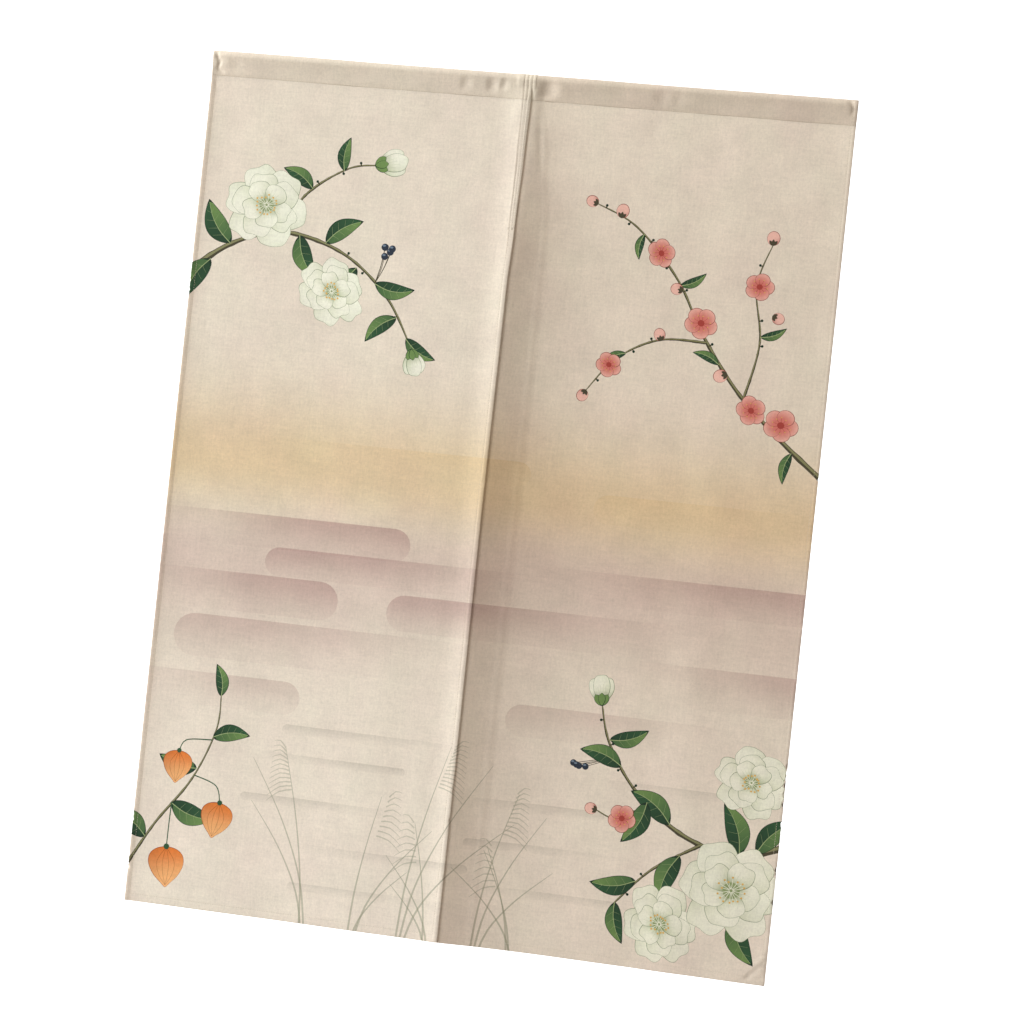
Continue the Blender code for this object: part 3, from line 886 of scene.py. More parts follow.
def meshPiece(name, points, faces, material, colours=None, plan=None):
    # colours are given for each face's corners, and so is plan, the corners' places on the weave
    mesh = bpy.data.meshes.new(name)
    mesh.vertices.add(len(points))
    mesh.vertices.foreach_set("co", np.ascontiguousarray(points, np.float32).ravel())
    mesh.loops.add(faces.size)
    mesh.loops.foreach_set("vertex_index", np.ascontiguousarray(faces, np.int32).ravel())
    sides = faces.shape[1]
    mesh.polygons.add(len(faces))
    mesh.polygons.foreach_set("loop_start", np.arange(0, faces.size, sides, dtype=np.int32))
    mesh.update(calc_edges=True)
    mesh.validate()
    if plan is not None:
        layer = mesh.uv_layers.new(name="weave")
        layer.uv.foreach_set("vector", np.ascontiguousarray(plan, np.float32).ravel())
    if colours is not None:
        rgba = np.ones((len(colours), 4), np.float32)
        rgba[:, :3] = colours
        layer = mesh.color_attributes.new("ink", "FLOAT_COLOR", "CORNER")
        layer.data.foreach_set("color", rgba.ravel())
    mesh.shade_smooth()
    mesh.materials.append(material)
    piece = bpy.data.objects.new(name, mesh)
    bpy.context.scene.collection.objects.link(piece)
    return piece


def closedSheet(front, back, faces):
    # the front, the back turned over, and walls along the front's open edges
    count = len(front)
    pairs = np.concatenate([faces[:, [0, 1]], faces[:, [1, 2]], faces[:, [2, 0]]])
    keys = pairs[:, 0].astype(np.int64) * count + pairs[:, 1]
    twins = pairs[:, 1].astype(np.int64) * count + pairs[:, 0]
    rim = pairs[~np.isin(twins, keys)]
    walls = np.concatenate([
        np.stack([rim[:, 1], rim[:, 0], rim[:, 0] + count], 1),
        np.stack([rim[:, 1], rim[:, 0] + count, rim[:, 1] + count], 1),
    ])
    return np.concatenate([front, back]), np.concatenate([faces, faces[:, ::-1] + count, walls])


# Finishes.

perThread = 1000.0 / 1.15      # threads in a metre
weave = {
    # noises: stretch across and down, scale in a metre, detail, roughness
    "warp": ((1.0, 0.10), perThread, 2.0, 0.6), "weft": ((0.12, 1.0), perThread, 2.0, 0.6),
    "warpSlub": ((1.0, 0.12), 230.0, 3.0, 0.65), "weftSlub": ((0.16, 1.0), 210.0, 3.0, 0.65),
    "grain": ((1.0, 0.8), 330.0, 3.0, 0.7), "mottle": ((1.0, 1.0), 20.0, 5.0, 0.62),
    "patches": ((1.0, 0.8), 13.0, 4.0, 0.55),
    # how much of the threads' relief each pair gives
    "fineShare": 0.30, "slubShare": 0.34, "grainShare": 0.72,
    "shade": 0.46, "slow": 0.28,       # how far threads and mottle lighten and darken the cloth
    "hue": (0.0, 0.10, 0.04),
    "bump": 0.32, "raised": 0.0004,
    "roughness": 0.86, "uneven": 0.12,
    "specular": 0.25, "sheen": 0.12, "sheenRoughness": 0.5,
}
sewing = {"dark": "#bfb19a", "light": "#dcd2c1", "twists": 900.0, "distortion": 1.5, "roughness": 0.62,
          "bump": 0.3, "raised": 0.0002}


def noise(tree, vector, stretch, scale, detail, rough):
    # noise on coordinates stretched by (across, down)
    scaled = tree.nodes.new("ShaderNodeVectorMath")
    scaled.operation = "MULTIPLY"
    scaled.inputs[1].default_value = (stretch[0], stretch[1], 1.0)
    tree.links.new(vector, scaled.inputs[0])
    made = tree.nodes.new("ShaderNodeTexNoise")
    made.inputs["Scale"].default_value = scale
    made.inputs["Detail"].default_value = detail
    made.inputs["Roughness"].default_value = rough
    tree.links.new(scaled.outputs[0], made.inputs["Vector"])
    return made.outputs["Fac"]


def combine(tree, operation, a, b):
    node = tree.nodes.new("ShaderNodeMath")
    node.operation = operation
    for socket, value in zip(node.inputs, (a, b)):
        if isinstance(value, (int, float)):
            socket.default_value = value
        else:
            tree.links.new(value, socket)
    return node.outputs[0]


def addBump(tree, shader, height, row):
    bump = tree.nodes.new("ShaderNodeBump")
    bump.inputs["Strength"].default_value = row["bump"]
    bump.inputs["Distance"].default_value = row["raised"]
    tree.links.new(height, bump.inputs["Height"])
    tree.links.new(bump.outputs["Normal"], shader.inputs["Normal"])


def aboutOne(tree, value, middle, strength):
    # 1 where the value is at its middle, and more where it is higher
    off = combine(tree, "SUBTRACT", value, middle)
    return combine(tree, "ADD", combine(tree, "MULTIPLY", off, strength), 1.0)


def clothMaterial(name):
    # the ink's colour, times the threads' light and dark, times a slow mottle; the threads raise the surface
    material = bpy.data.materials.new(name)
    material.use_nodes = True
    tree = material.node_tree
    shader = tree.nodes["Principled BSDF"]
    ink = tree.nodes.new("ShaderNodeVertexColor")
    ink.layer_name = "ink"
    weavePlan = tree.nodes.new("ShaderNodeUVMap")
    weavePlan.uv_map = "weave"
    where = weavePlan.outputs["UV"]
    names = ("warp", "weft", "warpSlub", "weftSlub", "grain", "mottle")
    warp, weft, warpSlub, weftSlub, grained, mottle = (noise(tree, where, *weave[name]) for name in names)
    fine = combine(tree, "MULTIPLY", combine(tree, "ADD", warp, weft), weave["fineShare"])
    slubs = combine(tree, "MULTIPLY", combine(tree, "ADD", warpSlub, weftSlub), weave["slubShare"])
    grained = combine(tree, "MULTIPLY", grained, weave["grainShare"])
    relief = combine(tree, "ADD", combine(tree, "ADD", fine, slubs), grained)
    tone = combine(tree, "MULTIPLY", aboutOne(tree, relief, 1.0, weave["shade"]),
                   aboutOne(tree, mottle, 0.5, weave["slow"]))
    tinted = tree.nodes.new("ShaderNodeVectorMath")
    tinted.operation = "SCALE"
    tree.links.new(ink.outputs["Color"], tinted.inputs[0])
    tree.links.new(tone, tinted.inputs["Scale"])
    # patches a little pinker or yellower: one more slow noise, its green and blue multiplied the most
    hue = tree.nodes.new("ShaderNodeVectorMath")
    hue.operation = "MULTIPLY_ADD"
    tree.links.new(noise(tree, where, *weave["patches"]), hue.inputs[0])
    hue.inputs[1].default_value = weave["hue"]
    hue.inputs[2].default_value = tuple(1.0 - value / 2 for value in weave["hue"])
    shifted = tree.nodes.new("ShaderNodeVectorMath")
    shifted.operation = "MULTIPLY"
    tree.links.new(tinted.outputs[0], shifted.inputs[0])
    tree.links.new(hue.outputs[0], shifted.inputs[1])
    tree.links.new(shifted.outputs[0], shader.inputs["Base Color"])
    scaled = combine(tree, "MULTIPLY", relief, weave["uneven"])
    rough = combine(tree, "ADD", scaled, weave["roughness"] - weave["uneven"])
    tree.links.new(rough, shader.inputs["Roughness"])
    shader.inputs["Specular IOR Level"].default_value = weave["specular"]
    shader.inputs["Sheen Weight"].default_value = weave["sheen"]
    shader.inputs["Sheen Roughness"].default_value = weave["sheenRoughness"]
    addBump(tree, shader, relief, weave)
    return material


def threadMaterial():
    # cream sewing thread, its twist a slanted wave
    material = bpy.data.materials.new("sewingThread")
    material.use_nodes = True
    tree = material.node_tree
    shader = tree.nodes["Principled BSDF"]
    where = tree.nodes.new("ShaderNodeTexCoord").outputs["Object"]
    twist = tree.nodes.new("ShaderNodeTexWave")
    twist.bands_direction = "DIAGONAL"
    twist.inputs["Scale"].default_value = sewing["twists"]
    twist.inputs["Distortion"].default_value = sewing["distortion"]
    tree.links.new(where, twist.inputs["Vector"])
    tones = tree.nodes.new("ShaderNodeValToRGB")
    for element, shade in zip(tones.color_ramp.elements, ("dark", "light")):
        element.color = (*linear(sewing[shade]), 1.0)
    tree.links.new(twist.outputs["Fac"], tones.inputs["Fac"])
    tree.links.new(tones.outputs["Color"], shader.inputs["Base Color"])
    shader.inputs["Roughness"].default_value = sewing["roughness"]
    addBump(tree, shader, twist.outputs["Fac"], sewing)
    return material


panelCloth = clothMaterial("printedCloth")
headingCloth = clothMaterial("headingCloth")
thread = threadMaterial()


# The panels.

fade = {"back": 0.5, "dim": 0.96}      # the print shows through the back, paler
tonesAndPaintedShading = {
    # the panels' own tones; the right one's darker tone is partly painted shade
    "left": (1.0, 1.0, 1.0), "right": (0.935, 0.905, 0.885),
    # the right panel: painted shade beside the split, painted light near the top, darker towards the foot,
    # and painted light
    #  beside the joint
    "paintedShadeBesideSplit": {"multiplier": (0.90, 0.87, 0.84), "reach": 130.0, "from": 60.0, "over": 180.0},
    "paintedLight": {"multiplier": (1.065, 1.08, 1.09), "from": 40.0, "over": 260.0, "clear": 20.0, "full": 70.0},
    "darkerTowardsFoot": {"multiplier": 0.975, "from": 700.0, "over": 260.0},
    "joint": {"multiplier": 1.12, "reach": 9.0, "until": 205.0, "over": 60.0},
    # the left one: painted light along the crest beside the split
    "lip": {"multiplier": 1.06, "reach": 42.0, "from": 60.0, "over": 180.0},
    # both: darker at the seam, in the fold of the foot and, on the left, along the outer hem
    "seam": {"multiplier": 0.925, "reach": 3.5, "over": 5.0},
    "hem": {"multiplier": (0.86, 0.80, 0.76), "outer": 0.7, "reach": 13.0,
            "foot": 0.2, "footReach": 4.5, "over": 2.0},
}


def comesIn(drop, row):
    # 0 down to where a change of tone starts, 1 where it is full
    return smoothStep((drop - row["from"]) / row["over"])


def toneAndPaintedShading(panel, plan, colours):
    # a panel's own tone and how it changes over the cloth, with painted light and painted shade among the
    # changes
    side, half = panel["side"], curtain["half"]
    x, drop = plan[..., 0], plan[..., 1]
    # the right panel's darker tone: partly its own, partly painted shade
    colours = colours * tonesAndPaintedShading["right" if side > 0 else "left"]
    paintedShadeBesideSplit, paintedLight, darkerTowardsFoot, joint, lip, seam, hem = (
        tonesAndPaintedShading[name] for name in ("paintedShadeBesideSplit", "paintedLight", "darkerTowardsFoot", "joint", "lip", "seam", "hem"))
    if side > 0:
        # painted shade on the right panel beside the split, deepening downwards
        shadeBesideSplit = 1.0 - ease(np.maximum(x, 0.0), paintedShadeBesideSplit["reach"])
        # painted light near the top of the right panel, away from the split
        clear = smoothStep((x - paintedLight["clear"]) / paintedLight["full"])
        # painted light beside the joint, lifting the shadow of the left panel's edge
        beside = 1.0 - smoothStep(x / joint["reach"])
        changes = [
            (paintedShadeBesideSplit, shadeBesideSplit * comesIn(drop, paintedShadeBesideSplit)),
            (paintedLight, clear * (1.0 - comesIn(drop, paintedLight))),
            (darkerTowardsFoot, comesIn(drop, darkerTowardsFoot)),
            (joint, beside * smoothStep((joint["until"] - drop) / joint["over"])),
        ]
    else:
        # painted light along the crest beside the split, growing downwards
        changes = [(lip, smoothStep(1.0 + x / lip["reach"]) * comesIn(drop, lip))]
    changes.append((seam, smoothStep((curtain["seam"] + seam["reach"] - drop) / seam["over"])))
    outer = 0.0 if side > 0 else hem["outer"] * smoothStep(1.0 - (half - side * x) / hem["reach"])
    foot = hem["foot"] * smoothStep((hem["footReach"] - (curtain["drop"] - drop)) / hem["over"])
    changes.append((hem, np.clip(outer + foot, 0.0, 1.0)))
    for row, share in changes:
        colours = mix(colours, colours * row["multiplier"], share)
    return colours


def buildPanel(name):
    panel = panels[name]
    across, down, latticePoints = panelLattice(panel)
    low, high = np.array([across[0], down[0]]), np.array([across[-1], down[-1]])
    layers = [layer for layer in inkLayers
              if np.all(layer["outline"].max(axis=0) > low) and np.all(layer["outline"].min(axis=0) < high)]
    outlines = [closerAtFolds(layer["outline"], panel) for layer in layers]
    plan, faces = triangulate(across, down, latticePoints, outlines)
    front = panelPoint(panel, plan[:, 0], plan[:, 1], 0.0)
    back = panelPoint(panel, plan[:, 0], plan[:, 1], curtain["cloth"])
    points, allFaces = closedSheet(front, back, faces)
    printed = toneAndPaintedShading(panel, plan[faces], inkColours(plan, faces, layers))
    pale = mix(printed, groundPaint(plan[faces][..., 0], plan[faces][..., 1]), fade["back"]) * fade["dim"]
    count = len(plan)
    wallPlan = plan[allFaces[2 * len(faces):].ravel() % count]
    walls = toneAndPaintedShading(panel, wallPlan, groundPaint(wallPlan[:, 0], wallPlan[:, 1]))
    colours = np.concatenate([printed.reshape(-1, 3), pale[:, ::-1].reshape(-1, 3), walls])
    cornerPlan = plan[allFaces.ravel() % count] * (toMetres, -toMetres)
    piece = meshPiece(name, points, allFaces, panelCloth, colours, cornerPlan)
    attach(piece, "root")
    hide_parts(panel["node"])
    print(f"{name}: {len(allFaces)} triangles")
    return piece


pieces = {name: buildPanel(name) for name in panels}


# The heading: a tube of cloth, full at the top and drawn flat at the seam.

heading = {
    "topRadius": 7.5, "footRadius": 0.8, "aroundStep": 1.6, "acrossStep": 3.0,
    # columns nearer each other at the crumpled end, the puckers and beside the joint: first, end and step
    "closer": [(-449.0, -415.0, 1.4), (-98.0, -28.0, 1.6), (12.0, 50.0, 1.4)],
    "jointStep": 0.6, "beside": 3.0,
    "seamRow": 1.9, "seamGroove": 0.08, "seamHalf": 1.7,      # stitch row above the foot, and how it draws in
    # the joint's strip, where the cloth is doubled, and its stitch rows
    "jointLeft": -15.0, "jointRight": 11.0, "jointRise": (7.0, 3.0), "proud": 0.7,
    "grooves": (-5.0, 0.4, 6.0), "groove": 0.34, "grooveHalf": 1.9,
    "followFrom": 12.0, "followOver": 22.0,      # where it comes to stand as proud as the panels
    "rowClear": 3.0, "jointRowFrom": 16.0,       # rows end this far from others, and start before the front
    # slow unevenness, calm near the foot, and the sag of the top edge
    "uneven": 0.22, "unevenAcross": 41.0, "unevenDown": 9.0, "unevenDrift": 130.0,
    "calmAbove": 1.0, "calmOver": 8.0,
    "sag": 0.16, "sagLength": 63.0, "sagStart": 0.8, "sagReach": 10.0, "low": 0.2,
    "facing": (0.35, 1.2),                       # how the relief comes in as the tube turns to the front
    # tones left and right of the joint, painted shade that is darker on the right; painted light along the
    # fold at the top and at the crumpled left end
    "shadedToneLeft": (0.965, 0.955, 0.935), "shadedToneRight": (0.885, 0.845, 0.82), "shadedToneFrom": 8.0, "shadedToneOver": 8.0,
    "paintedTopLight": 0.07, "paintedTopLightAt": 0.6, "paintedTopLightHalf": 12.0, "paintedLight": 0.05, "paintedLightFrom": -375.0, "paintedLightOver": 50.0,
    # creases: x, drop, turn, half length, half width, height
    "creases": [
        (-443.0, 9.0, 74.0, 11.0, 5.0, -1.5), (-440.0, 19.0, 108.0, 10.0, 4.6, -1.3),
        (-438.0, 28.0, 30.0, 11.0, 4.4, -1.2), (-429.0, 13.0, 84.0, 14.0, 8.0, 0.4),
        (-414.0, 19.0, 76.0, 14.0, 12.0, -0.4), (-338.0, 19.0, -4.0, 52.0, 12.0, -0.3),
        (-290.0, 18.0, 80.0, 16.0, 20.0, -0.35), (-228.0, 20.0, -3.0, 44.0, 12.0, -0.25),
        (-168.0, 18.0, 86.0, 16.0, 22.0, -0.3), (-87.0, 19.0, 104.0, 14.0, 11.0, -1.0),
        (-50.0, 19.0, 98.0, 15.0, 11.5, -1.5), (-33.0, 16.0, 112.0, 14.0, 8.5, -1.1),
        (28.0, 19.0, 84.0, 21.0, 18.0, -2.9), (52.0, 17.0, 80.0, 16.0, 12.0, 0.3),
        (78.0, 20.0, 4.0, 36.0, 12.0, -0.25), (128.0, 18.0, 84.0, 16.0, 22.0, -0.3),
        (186.0, 18.0, 82.0, 17.0, 15.0, -0.8), (208.0, 19.0, 95.0, 16.0, 12.0, -0.5),
        (262.0, 20.0, 3.0, 44.0, 12.0, -0.3), (326.0, 18.0, 88.0, 16.0, 24.0, -0.35),
        (396.0, 20.0, 8.0, 34.0, 12.0, -0.3), (442.0, 7.0, 58.0, 10.0, 5.0, -1.4),
        (444.0, 17.0, 100.0, 10.0, 5.0, -0.8),
    ],
}


def headingSection(around):
    # two circles joined by their tangents, by length along the outline; gives y, drop and the outward normal
    top, foot = heading["topRadius"], heading["footRadius"]
    footDrop = curtain["seam"] - foot
    gap = footDrop - top
    lean = math.asin((top - foot) / gap)
    straight = gap * math.cos(lean)
    legs = np.cumsum([(math.pi + 2 * lean) * top, straight, (math.pi - 2 * lean) * foot, straight])

    def circle(radius, drop, angle):
        c, s = np.cos(angle), np.sin(angle)
        return np.stack([radius * c, drop - radius * s, c, -s], -1)

    over = circle(top, top, -lean + around / top)
    under = circle(foot, footDrop, math.pi + lean + (around - legs[1]) / foot)
    # the straight legs: down in front, and back up behind as its mirror
    normal, mirror = np.array([-math.cos(lean), math.sin(lean)]), np.array([-1.0, 1.0])
    high, low = (0.0, top) + top * normal, (0.0, footDrop) + foot * normal

    def leg(start, stop, facing, begun):
        share = ((around - begun) / straight)[..., None]
        outward = np.broadcast_to(facing, (*around.shape, 2))
        return np.concatenate([start + share * (stop - start), outward], -1)

    front = leg(high, low, normal, legs[0])
    rear = leg(low * mirror, high * mirror, normal * mirror, legs[2])
    pick = np.searchsorted(legs[:3], around, side="right")[..., None]
    return np.where(pick == 0, over, np.where(pick == 1, front, np.where(pick == 2, under, rear))), legs


def headingRelief(x, drop, facing):
    # slow unevenness and the puckers, fading at the foot; the joint's strip, thicker towards the seam, and
    # its stitch rows; and the seam's own row
    slant = drop / heading["unevenDown"] + x / heading["unevenDrift"]
    relief = heading["uneven"] * np.sin(x / heading["unevenAcross"]) * np.sin(slant)
    for row in heading["creases"]:
        relief = relief + crease(x, drop, row)
    relief = relief * smoothStep((curtain["seam"] - heading["calmAbove"] - drop) / heading["calmOver"])
    riseLeft, riseRight = heading["jointRise"]
    strip = smoothStep((x - heading["jointLeft"]) / riseLeft + 0.5)
    strip = strip * smoothStep((heading["jointRight"] - x) / riseRight + 0.5)
    seam = np.full_like(x, curtain["seam"])
    below = np.where(x < splitRows["edge"][0], forwardOf(-1, x, seam), forwardOf(1, x, seam))
    below = below - hanging["seamProud"] - curtain["solid"] / 2
    followed = below * smoothStep((drop - heading["followFrom"]) / heading["followOver"])
    relief = relief + np.maximum(heading["proud"] * strip, followed)
    for row in heading["grooves"]:
        relief = relief - heading["groove"] * swell(x - row, heading["grooveHalf"]) * strip
    row = curtain["seam"] - heading["seamRow"]
    drawn = swell(drop - row, heading["seamHalf"]) * (0.5 + 0.5 * stitchWave(x))
    return (relief - heading["seamGroove"] * drawn) * facing


def headingPoint(across, around, depth):
    # the ends' hems turn into the tube, then the cloth is wrapped round the section and raised by the relief
    x, y = turnHem(np.abs(across), depth, curtain["half"], hems["turn"])
    x = x * np.sign(across)
    section, _ = headingSection(around)
    begun, quick = heading["facing"]
    facing = smoothStep(begun - section[..., 2] * quick)
    drop = section[..., 1]
    out = headingRelief(x, drop, facing) - y
    wave = np.sin(x / heading["sagLength"] + heading["sagStart"])
    sag = heading["sag"] * wave * smoothStep(1.0 - drop / heading["sagReach"])
    height = sag - heading["low"] - drop - section[..., 3] * out
    return np.stack([x, section[..., 0] + section[..., 2] * out, height], -1) * toMetres


def buildHeading():
    half = curtain["half"]
    legs = headingSection(np.zeros(1))[1]
    around = np.linspace(0.0, legs[3], round(legs[3] / heading["aroundStep"]), endpoint=False)
    ends = hemPlaces(half, hems["turn"], hems["outer"], hems["outerRow"])
    plain = np.arange(-half + lattice["clear"], half - lattice["clearEnd"], heading["acrossStep"])
    beside = heading["beside"]
    joint = np.arange(heading["jointLeft"] - beside, heading["jointRight"] + beside, heading["jointStep"])
    closer = [np.arange(*places) for places in heading["closer"]]
    across = spread([*ends, *[-part for part in ends], plain, joint, *closer], lattice["gap"])
    flat = gridPoints(across, around)
    front = headingPoint(flat[:, 0], flat[:, 1], 0.0)
    back = headingPoint(flat[:, 0], flat[:, 1], curtain["cloth"])
    rows, columns, count = len(around), len(across), len(flat)
    r, c = np.meshgrid(np.arange(rows), np.arange(columns - 1), indexing="ij")
    a, b = r * columns + c, ((r + 1) % rows) * columns + c
    outside = np.stack([a, b, b + 1, a + 1], -1).reshape(-1, 4)
    # walls between the two skins at each end
    rims = []
    for column in (0, columns - 1):
        ring = np.arange(rows) * columns + column
        following = np.roll(ring, -1)
        rim = np.stack([ring, following, following + count, ring + count], 1)
        rims.append(rim[:, ::-1] if column == 0 else rim)
    faces = np.concatenate([outside, outside[:, ::-1] + count, *rims])
    at = flat[faces.ravel() % count]
    plan = at * (toMetres, -toMetres)
    # where a face spans the loop's join, its far corners count on past the end
    loop = legs[3] * toMetres
    faceAround = plan[:, 1].reshape(-1, 4)
    jumped = faceAround.max(axis=1) - faceAround.min(axis=1) > 0.5 * loop
    faceAround[jumped] -= np.where(faceAround[jumped] > -0.5 * loop, loop, 0.0)
    # painted shade: the heading darker than the cloth below it, more so right of the joint
    rightward = smoothStep((at[:, 0] - heading["shadedToneFrom"]) / heading["shadedToneOver"])
    tone = mix(np.array(heading["shadedToneLeft"]), np.array(heading["shadedToneRight"]), rightward)
    # painted light along the fold at the top of the tube
    paintedTopLight = swell(at[:, 1:] - legs[0] * heading["paintedTopLightAt"], heading["paintedTopLightHalf"])
    tone = tone * (1.0 + heading["paintedTopLight"] * paintedTopLight)
    # painted light at the crumpled left end of the heading
    paintedLight = smoothStep((heading["paintedLightFrom"] - at[:, :1]) / heading["paintedLightOver"])
    colours = groundPaint(at[:, 0], np.zeros(len(at))) * tone * (1.0 + heading["paintedLight"] * paintedLight)
    piece = meshPiece("headingTube", np.concatenate([front, back]), faces, headingCloth, colours, plan)
    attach(piece, "root")
    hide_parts("heading")
    print(f"heading: {2 * len(faces)} triangles")
    return piece


pieces["heading"] = buildHeading()


# Stitches: small grains of thread laid end to end along a row.

grain = {
    "length": 2.5, "radius": 0.27, "sides": 5,
    "rings": (0.62, 1.0, 0.62),      # thickness along it
    "shoulder": 0.12,                # the first ring's place, as a share of the length
    "depth": -0.02,                  # just proud of the cloth
}


def stitchMesh(name, starts, ends, outward):
    # each stitch is rings of points round its line, closed by a point at each end
    starts, ends, outward = (np.concatenate(rows) for rows in (starts, ends, outward))
    along = ends - starts
    length = np.linalg.norm(along, axis=1)[:, None]
    along = along / length
    sideways = np.cross(along, outward)
    sideways /= np.linalg.norm(sideways, axis=1)[:, None]
    up = np.cross(sideways, along)
    radius, rings, sides = grain["radius"] * toMetres, grain["rings"], grain["sides"]
    angles = np.linspace(0.0, 2 * np.pi, sides, endpoint=False)
    blocks = [starts[:, None, :]]
    for k, size in enumerate(rings):
        share = grain["shoulder"] + (1.0 - 2 * grain["shoulder"]) * k / (len(rings) - 1)
        centre = starts + along * length * share
        ring = [centre + radius * size * (np.cos(t) * sideways + np.sin(t) * up) for t in angles]
        blocks.append(np.stack(ring, 1))
    blocks.append(ends[:, None, :])
    points = np.concatenate(blocks, 1)
    each = points.shape[1]
    faces = []
    for s in range(sides):
        n = (s + 1) % sides
        faces.append((0, 1 + n, 1 + s))
        for k in range(len(rings) - 1):
            a, b = 1 + k * sides, 1 + (k + 1) * sides
            faces += [(a + s, a + n, b + n), (a + s, b + n, b + s)]
        last = 1 + (len(rings) - 1) * sides
        faces.append((each - 1, last + s, last + n))
    faces = np.array(faces)
    allFaces = (faces[None] + (np.arange(len(points)) * each)[:, None, None]).reshape(-1, 3)
    piece = meshPiece(name, points.reshape(-1, 3), allFaces, thread)
    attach(piece, "root")
    print(f"{name}: {len(allFaces)} triangles")
    return piece


def stitchRow(surface, fixed, start, stop, down):
    # surface(across, down, depth) gives points, and the row runs down it or across it; gives where each
    # stitch starts and ends, and the way out of the cloth
    count = max(1, int((stop - start) / hems["stitch"]))
    middle = start + (np.arange(count) + 0.5) * (stop - start) / count

    def at(shift, depth):
        places = (np.full(count, fixed), middle + shift)
        return surface(*(places if down else places[::-1]), np.full(count, depth))

    reach = grain["length"] / 2
    return at(-reach, grain["depth"]), at(reach, grain["depth"]), at(0.0, -1.0) - at(0.0, 0.0)


def buildHemStitches(name):
    panel = panels[name]
    side, inner, half = panel["side"], panel["inner"], curtain["half"]

    def surface(across, down, depth):
        return panelPoint(panel, across, down, depth)

    # on the face, then on the part turned back
    top, bottom = curtain["seam"] + 1.0, curtain["drop"] - hems["footRow"]
    outerRow, innerRow = side * (half - hems["outerRow"]), inner + side * hems["innerRow"]
    rows = []
    for fixed, start in ((outerRow, top), (innerRow, top if side > 0 else curtain["sewn"] + 2.0),
                         (side * turnedPlace(half, hems["turn"], hems["outerRow"]), top),
                         (-side * turnedPlace(-side * inner, hems["turn"], hems["innerRow"]), top)):
        rows.append(stitchRow(surface, fixed, start, bottom, True))
    low, high = sorted((outerRow, innerRow))
    rows.append(stitchRow(surface, bottom, low, high, False))
    turned = turnedPlace(curtain["drop"], hems["footTurn"], hems["footRow"])
    rows.append(stitchRow(surface, turned, low + hems["foot"], high - hems["foot"], False))
    piece = stitchMesh(name + "Stitches", *zip(*rows))
    return piece


def buildJointStitches():
    top, foot = curtain["seam"] + 1.0, curtain["sewn"] + 1.0

    def surface(across, down, depth):
        return panelPoint(panels["leftPanel"], across, down, depth)

    def drawnSurface(offset, down, depth):
        return surface(-lapOffset(offset, down), down, depth)

    rows = [stitchRow(drawnSurface, offset, top, foot, True) for offset in lapRows["offsets"]]
    # a close bar of stitches across the top of the split
    for k in range(-2, 3):
        rows.append(stitchRow(surface, foot + lapRows["barStep"] * k, *lapRows["bar"], False))
    piece = stitchMesh("jointStitches", *zip(*rows))
    return piece


def buildSeamStitches():
    legs = headingSection(np.zeros(1))[1]
    above = heading["seamRow"] - heading["footRadius"]
    frontRow, backRow = legs[1] - above, legs[2] + above
    clear = heading["rowClear"]
    reach, mouth = curtain["half"] - clear, curtain["half"] - hems["outerRow"]
    rows = [stitchRow(headingPoint, row, -reach, reach, False) for row in (frontRow, backRow)]
    # down the joint's strip and beside the pocket's mouths
    for fixed in heading["grooves"]:
        rows.append(stitchRow(headingPoint, fixed, legs[0] - heading["jointRowFrom"], frontRow - clear, True))
    for fixed in (-mouth, mouth):
        rows.append(stitchRow(headingPoint, fixed, 1.0, frontRow - clear, True))
    piece = stitchMesh("headingStitches", *zip(*rows))
    return piece


stitches = {name: buildHemStitches(name) for name in panels}
stitches["joint"] = buildJointStitches()
stitches["heading"] = buildSeamStitches()


# What the heading's cloth was cut to, worked out here and not kept: its width with the hems turned out flat,
# and its length round the tube.

def cutSize(width, length):
    return width * toMetres, length * toMetres


around = headingSection(np.zeros(1))[1][3]
cutSize(2 * curtain["half"] + 2 * hems["outer"], around)


# Room, light and camera.

room = {
    "floor": -2.8, "back": 4.6, "front": -4.6, "half": 6.5, "top": 4.2, "bend": 0.42,
    "paint": (0.62, 0.62, 0.62, 1.0),
    "glow": (-2.78, -2.50, 0.12, 0.85),      # two heights, and the wall's own light at each
    "sky": 0.275, "skyColour": (1.0, 0.84, 0.68, 1.0),
    "key": {"at": (-8.2, -3.65, 4.0), "aim": (0.0, 0.0, -0.55), "size": 3.4, "watts": 1450.0,
            "colour": (0.97, 0.985, 1.0)},
}


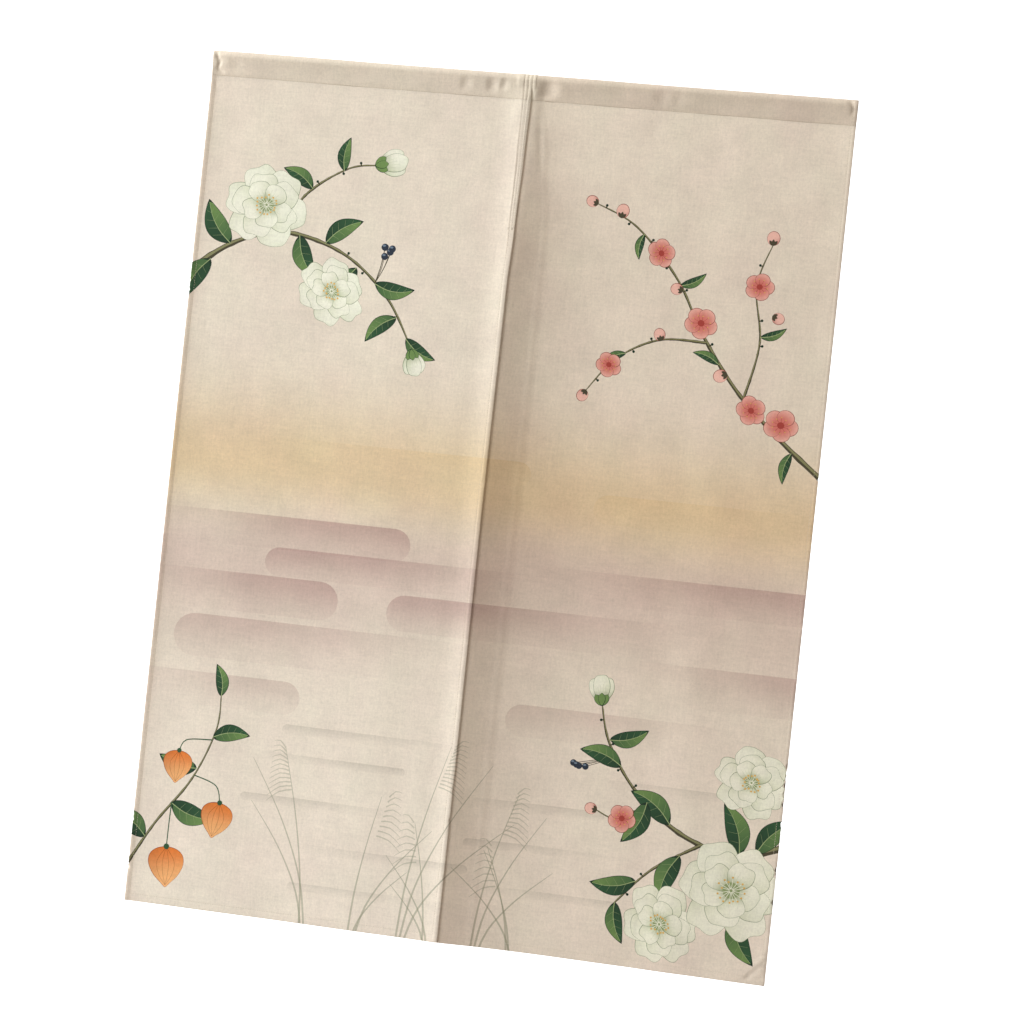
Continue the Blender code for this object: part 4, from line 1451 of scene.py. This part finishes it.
def buildRoom():
    # a floor that bends up into a pale wall: floor, quarter circle, wall, as one sweep
    t = np.linspace(0.0, np.pi / 2, 17)
    bend = room["bend"]
    y = np.concatenate([[room["front"]], room["back"] - bend + bend * np.sin(t), [room["back"]]])
    z = np.concatenate([[room["floor"]], room["floor"] + bend - bend * np.cos(t), [room["top"]]])
    left = np.stack([np.full_like(y, -room["half"]), y, z], 1)
    right = left * (-1.0, 1.0, 1.0)
    count = len(y)
    k = np.arange(count - 1)
    faces = np.stack([k, k + count, k + count + 1, k + 1], 1)
    material = bpy.data.materials.new("paleRoom")
    material.use_nodes = True
    tree = material.node_tree
    shader = tree.nodes["Principled BSDF"]
    shader.inputs["Base Color"].default_value = room["paint"]
    shader.inputs["Roughness"].default_value = 1.0
    shader.inputs["Specular IOR Level"].default_value = 0.0
    shader.inputs["Emission Color"].default_value = (1.0, 1.0, 1.0, 1.0)
    where = tree.nodes.new("ShaderNodeSeparateXYZ")
    tree.links.new(tree.nodes.new("ShaderNodeTexCoord").outputs["Object"], where.inputs[0])
    rise = tree.nodes.new("ShaderNodeMapRange")
    rise.interpolation_type = "SMOOTHSTEP"
    for socket, value in zip(list(rise.inputs)[1:5], room["glow"]):
        socket.default_value = value
    tree.links.new(where.outputs["Z"], rise.inputs["Value"])
    tree.links.new(rise.outputs["Result"], shader.inputs["Emission Strength"])
    piece = meshPiece("paleFloor", np.concatenate([left, right]), faces, material)


def addLight(name, row):
    lamp = bpy.data.lights.new(name, "AREA")
    lamp.shape = "DISK"
    lamp.size = row["size"]
    lamp.energy = row["watts"]
    lamp.color = row["colour"]
    holder = bpy.data.objects.new(name, lamp)
    holder.location = row["at"]
    holder.rotation_euler = (Vector(row["aim"]) - Vector(row["at"])).to_track_quat("-Z", "Y").to_euler()
    bpy.context.scene.collection.objects.link(holder)


def buildLight():
    world = bpy.data.worlds.new("softSky")
    bpy.context.scene.world = world
    world.use_nodes = True
    sky = world.node_tree.nodes["Background"]
    sky.inputs["Color"].default_value = room["skyColour"]
    sky.inputs["Strength"].default_value = room["sky"]
    addLight("keyLight", room["key"])
    view = bpy.context.scene.view_settings
    view.view_transform = "Standard"
    view.look = "None"


camera = {
    "lens": 85.0, "sensor": 36.0, "distance": 3.326, "turn": -9.01, "tip": 0.12, "roll": -6.08,
    "centre": (-0.0386, 0.0047),      # the curtain's middle in the picture, in metres at its distance
}


def buildCamera():
    # the curtain is turned about its middle and set in front of the lens; the camera takes the opposite move
    turned = (Matrix.Rotation(math.radians(camera["roll"]), 4, "Z")
              @ Matrix.Rotation(math.radians(camera["tip"]), 4, "X")
              @ Matrix.Rotation(math.radians(camera["turn"]), 4, "Y"))
    moved = Matrix.Translation((*camera["centre"], -camera["distance"])) @ turned
    upright = Matrix.Rotation(math.radians(90.0), 4, "X")
    middle = Matrix.Translation((0.0, 0.0, -curtain["drop"] / 2 * toMetres))
    data = bpy.data.cameras.new("camera")
    data.lens = camera["lens"]
    data.sensor_width = camera["sensor"]
    holder = bpy.data.objects.new("camera", data)
    holder.matrix_world = middle @ upright @ moved.inverted()
    bpy.context.scene.collection.objects.link(holder)
    bpy.context.scene.camera = holder


buildRoom()
buildLight()
buildCamera()
print("room, light and camera set")
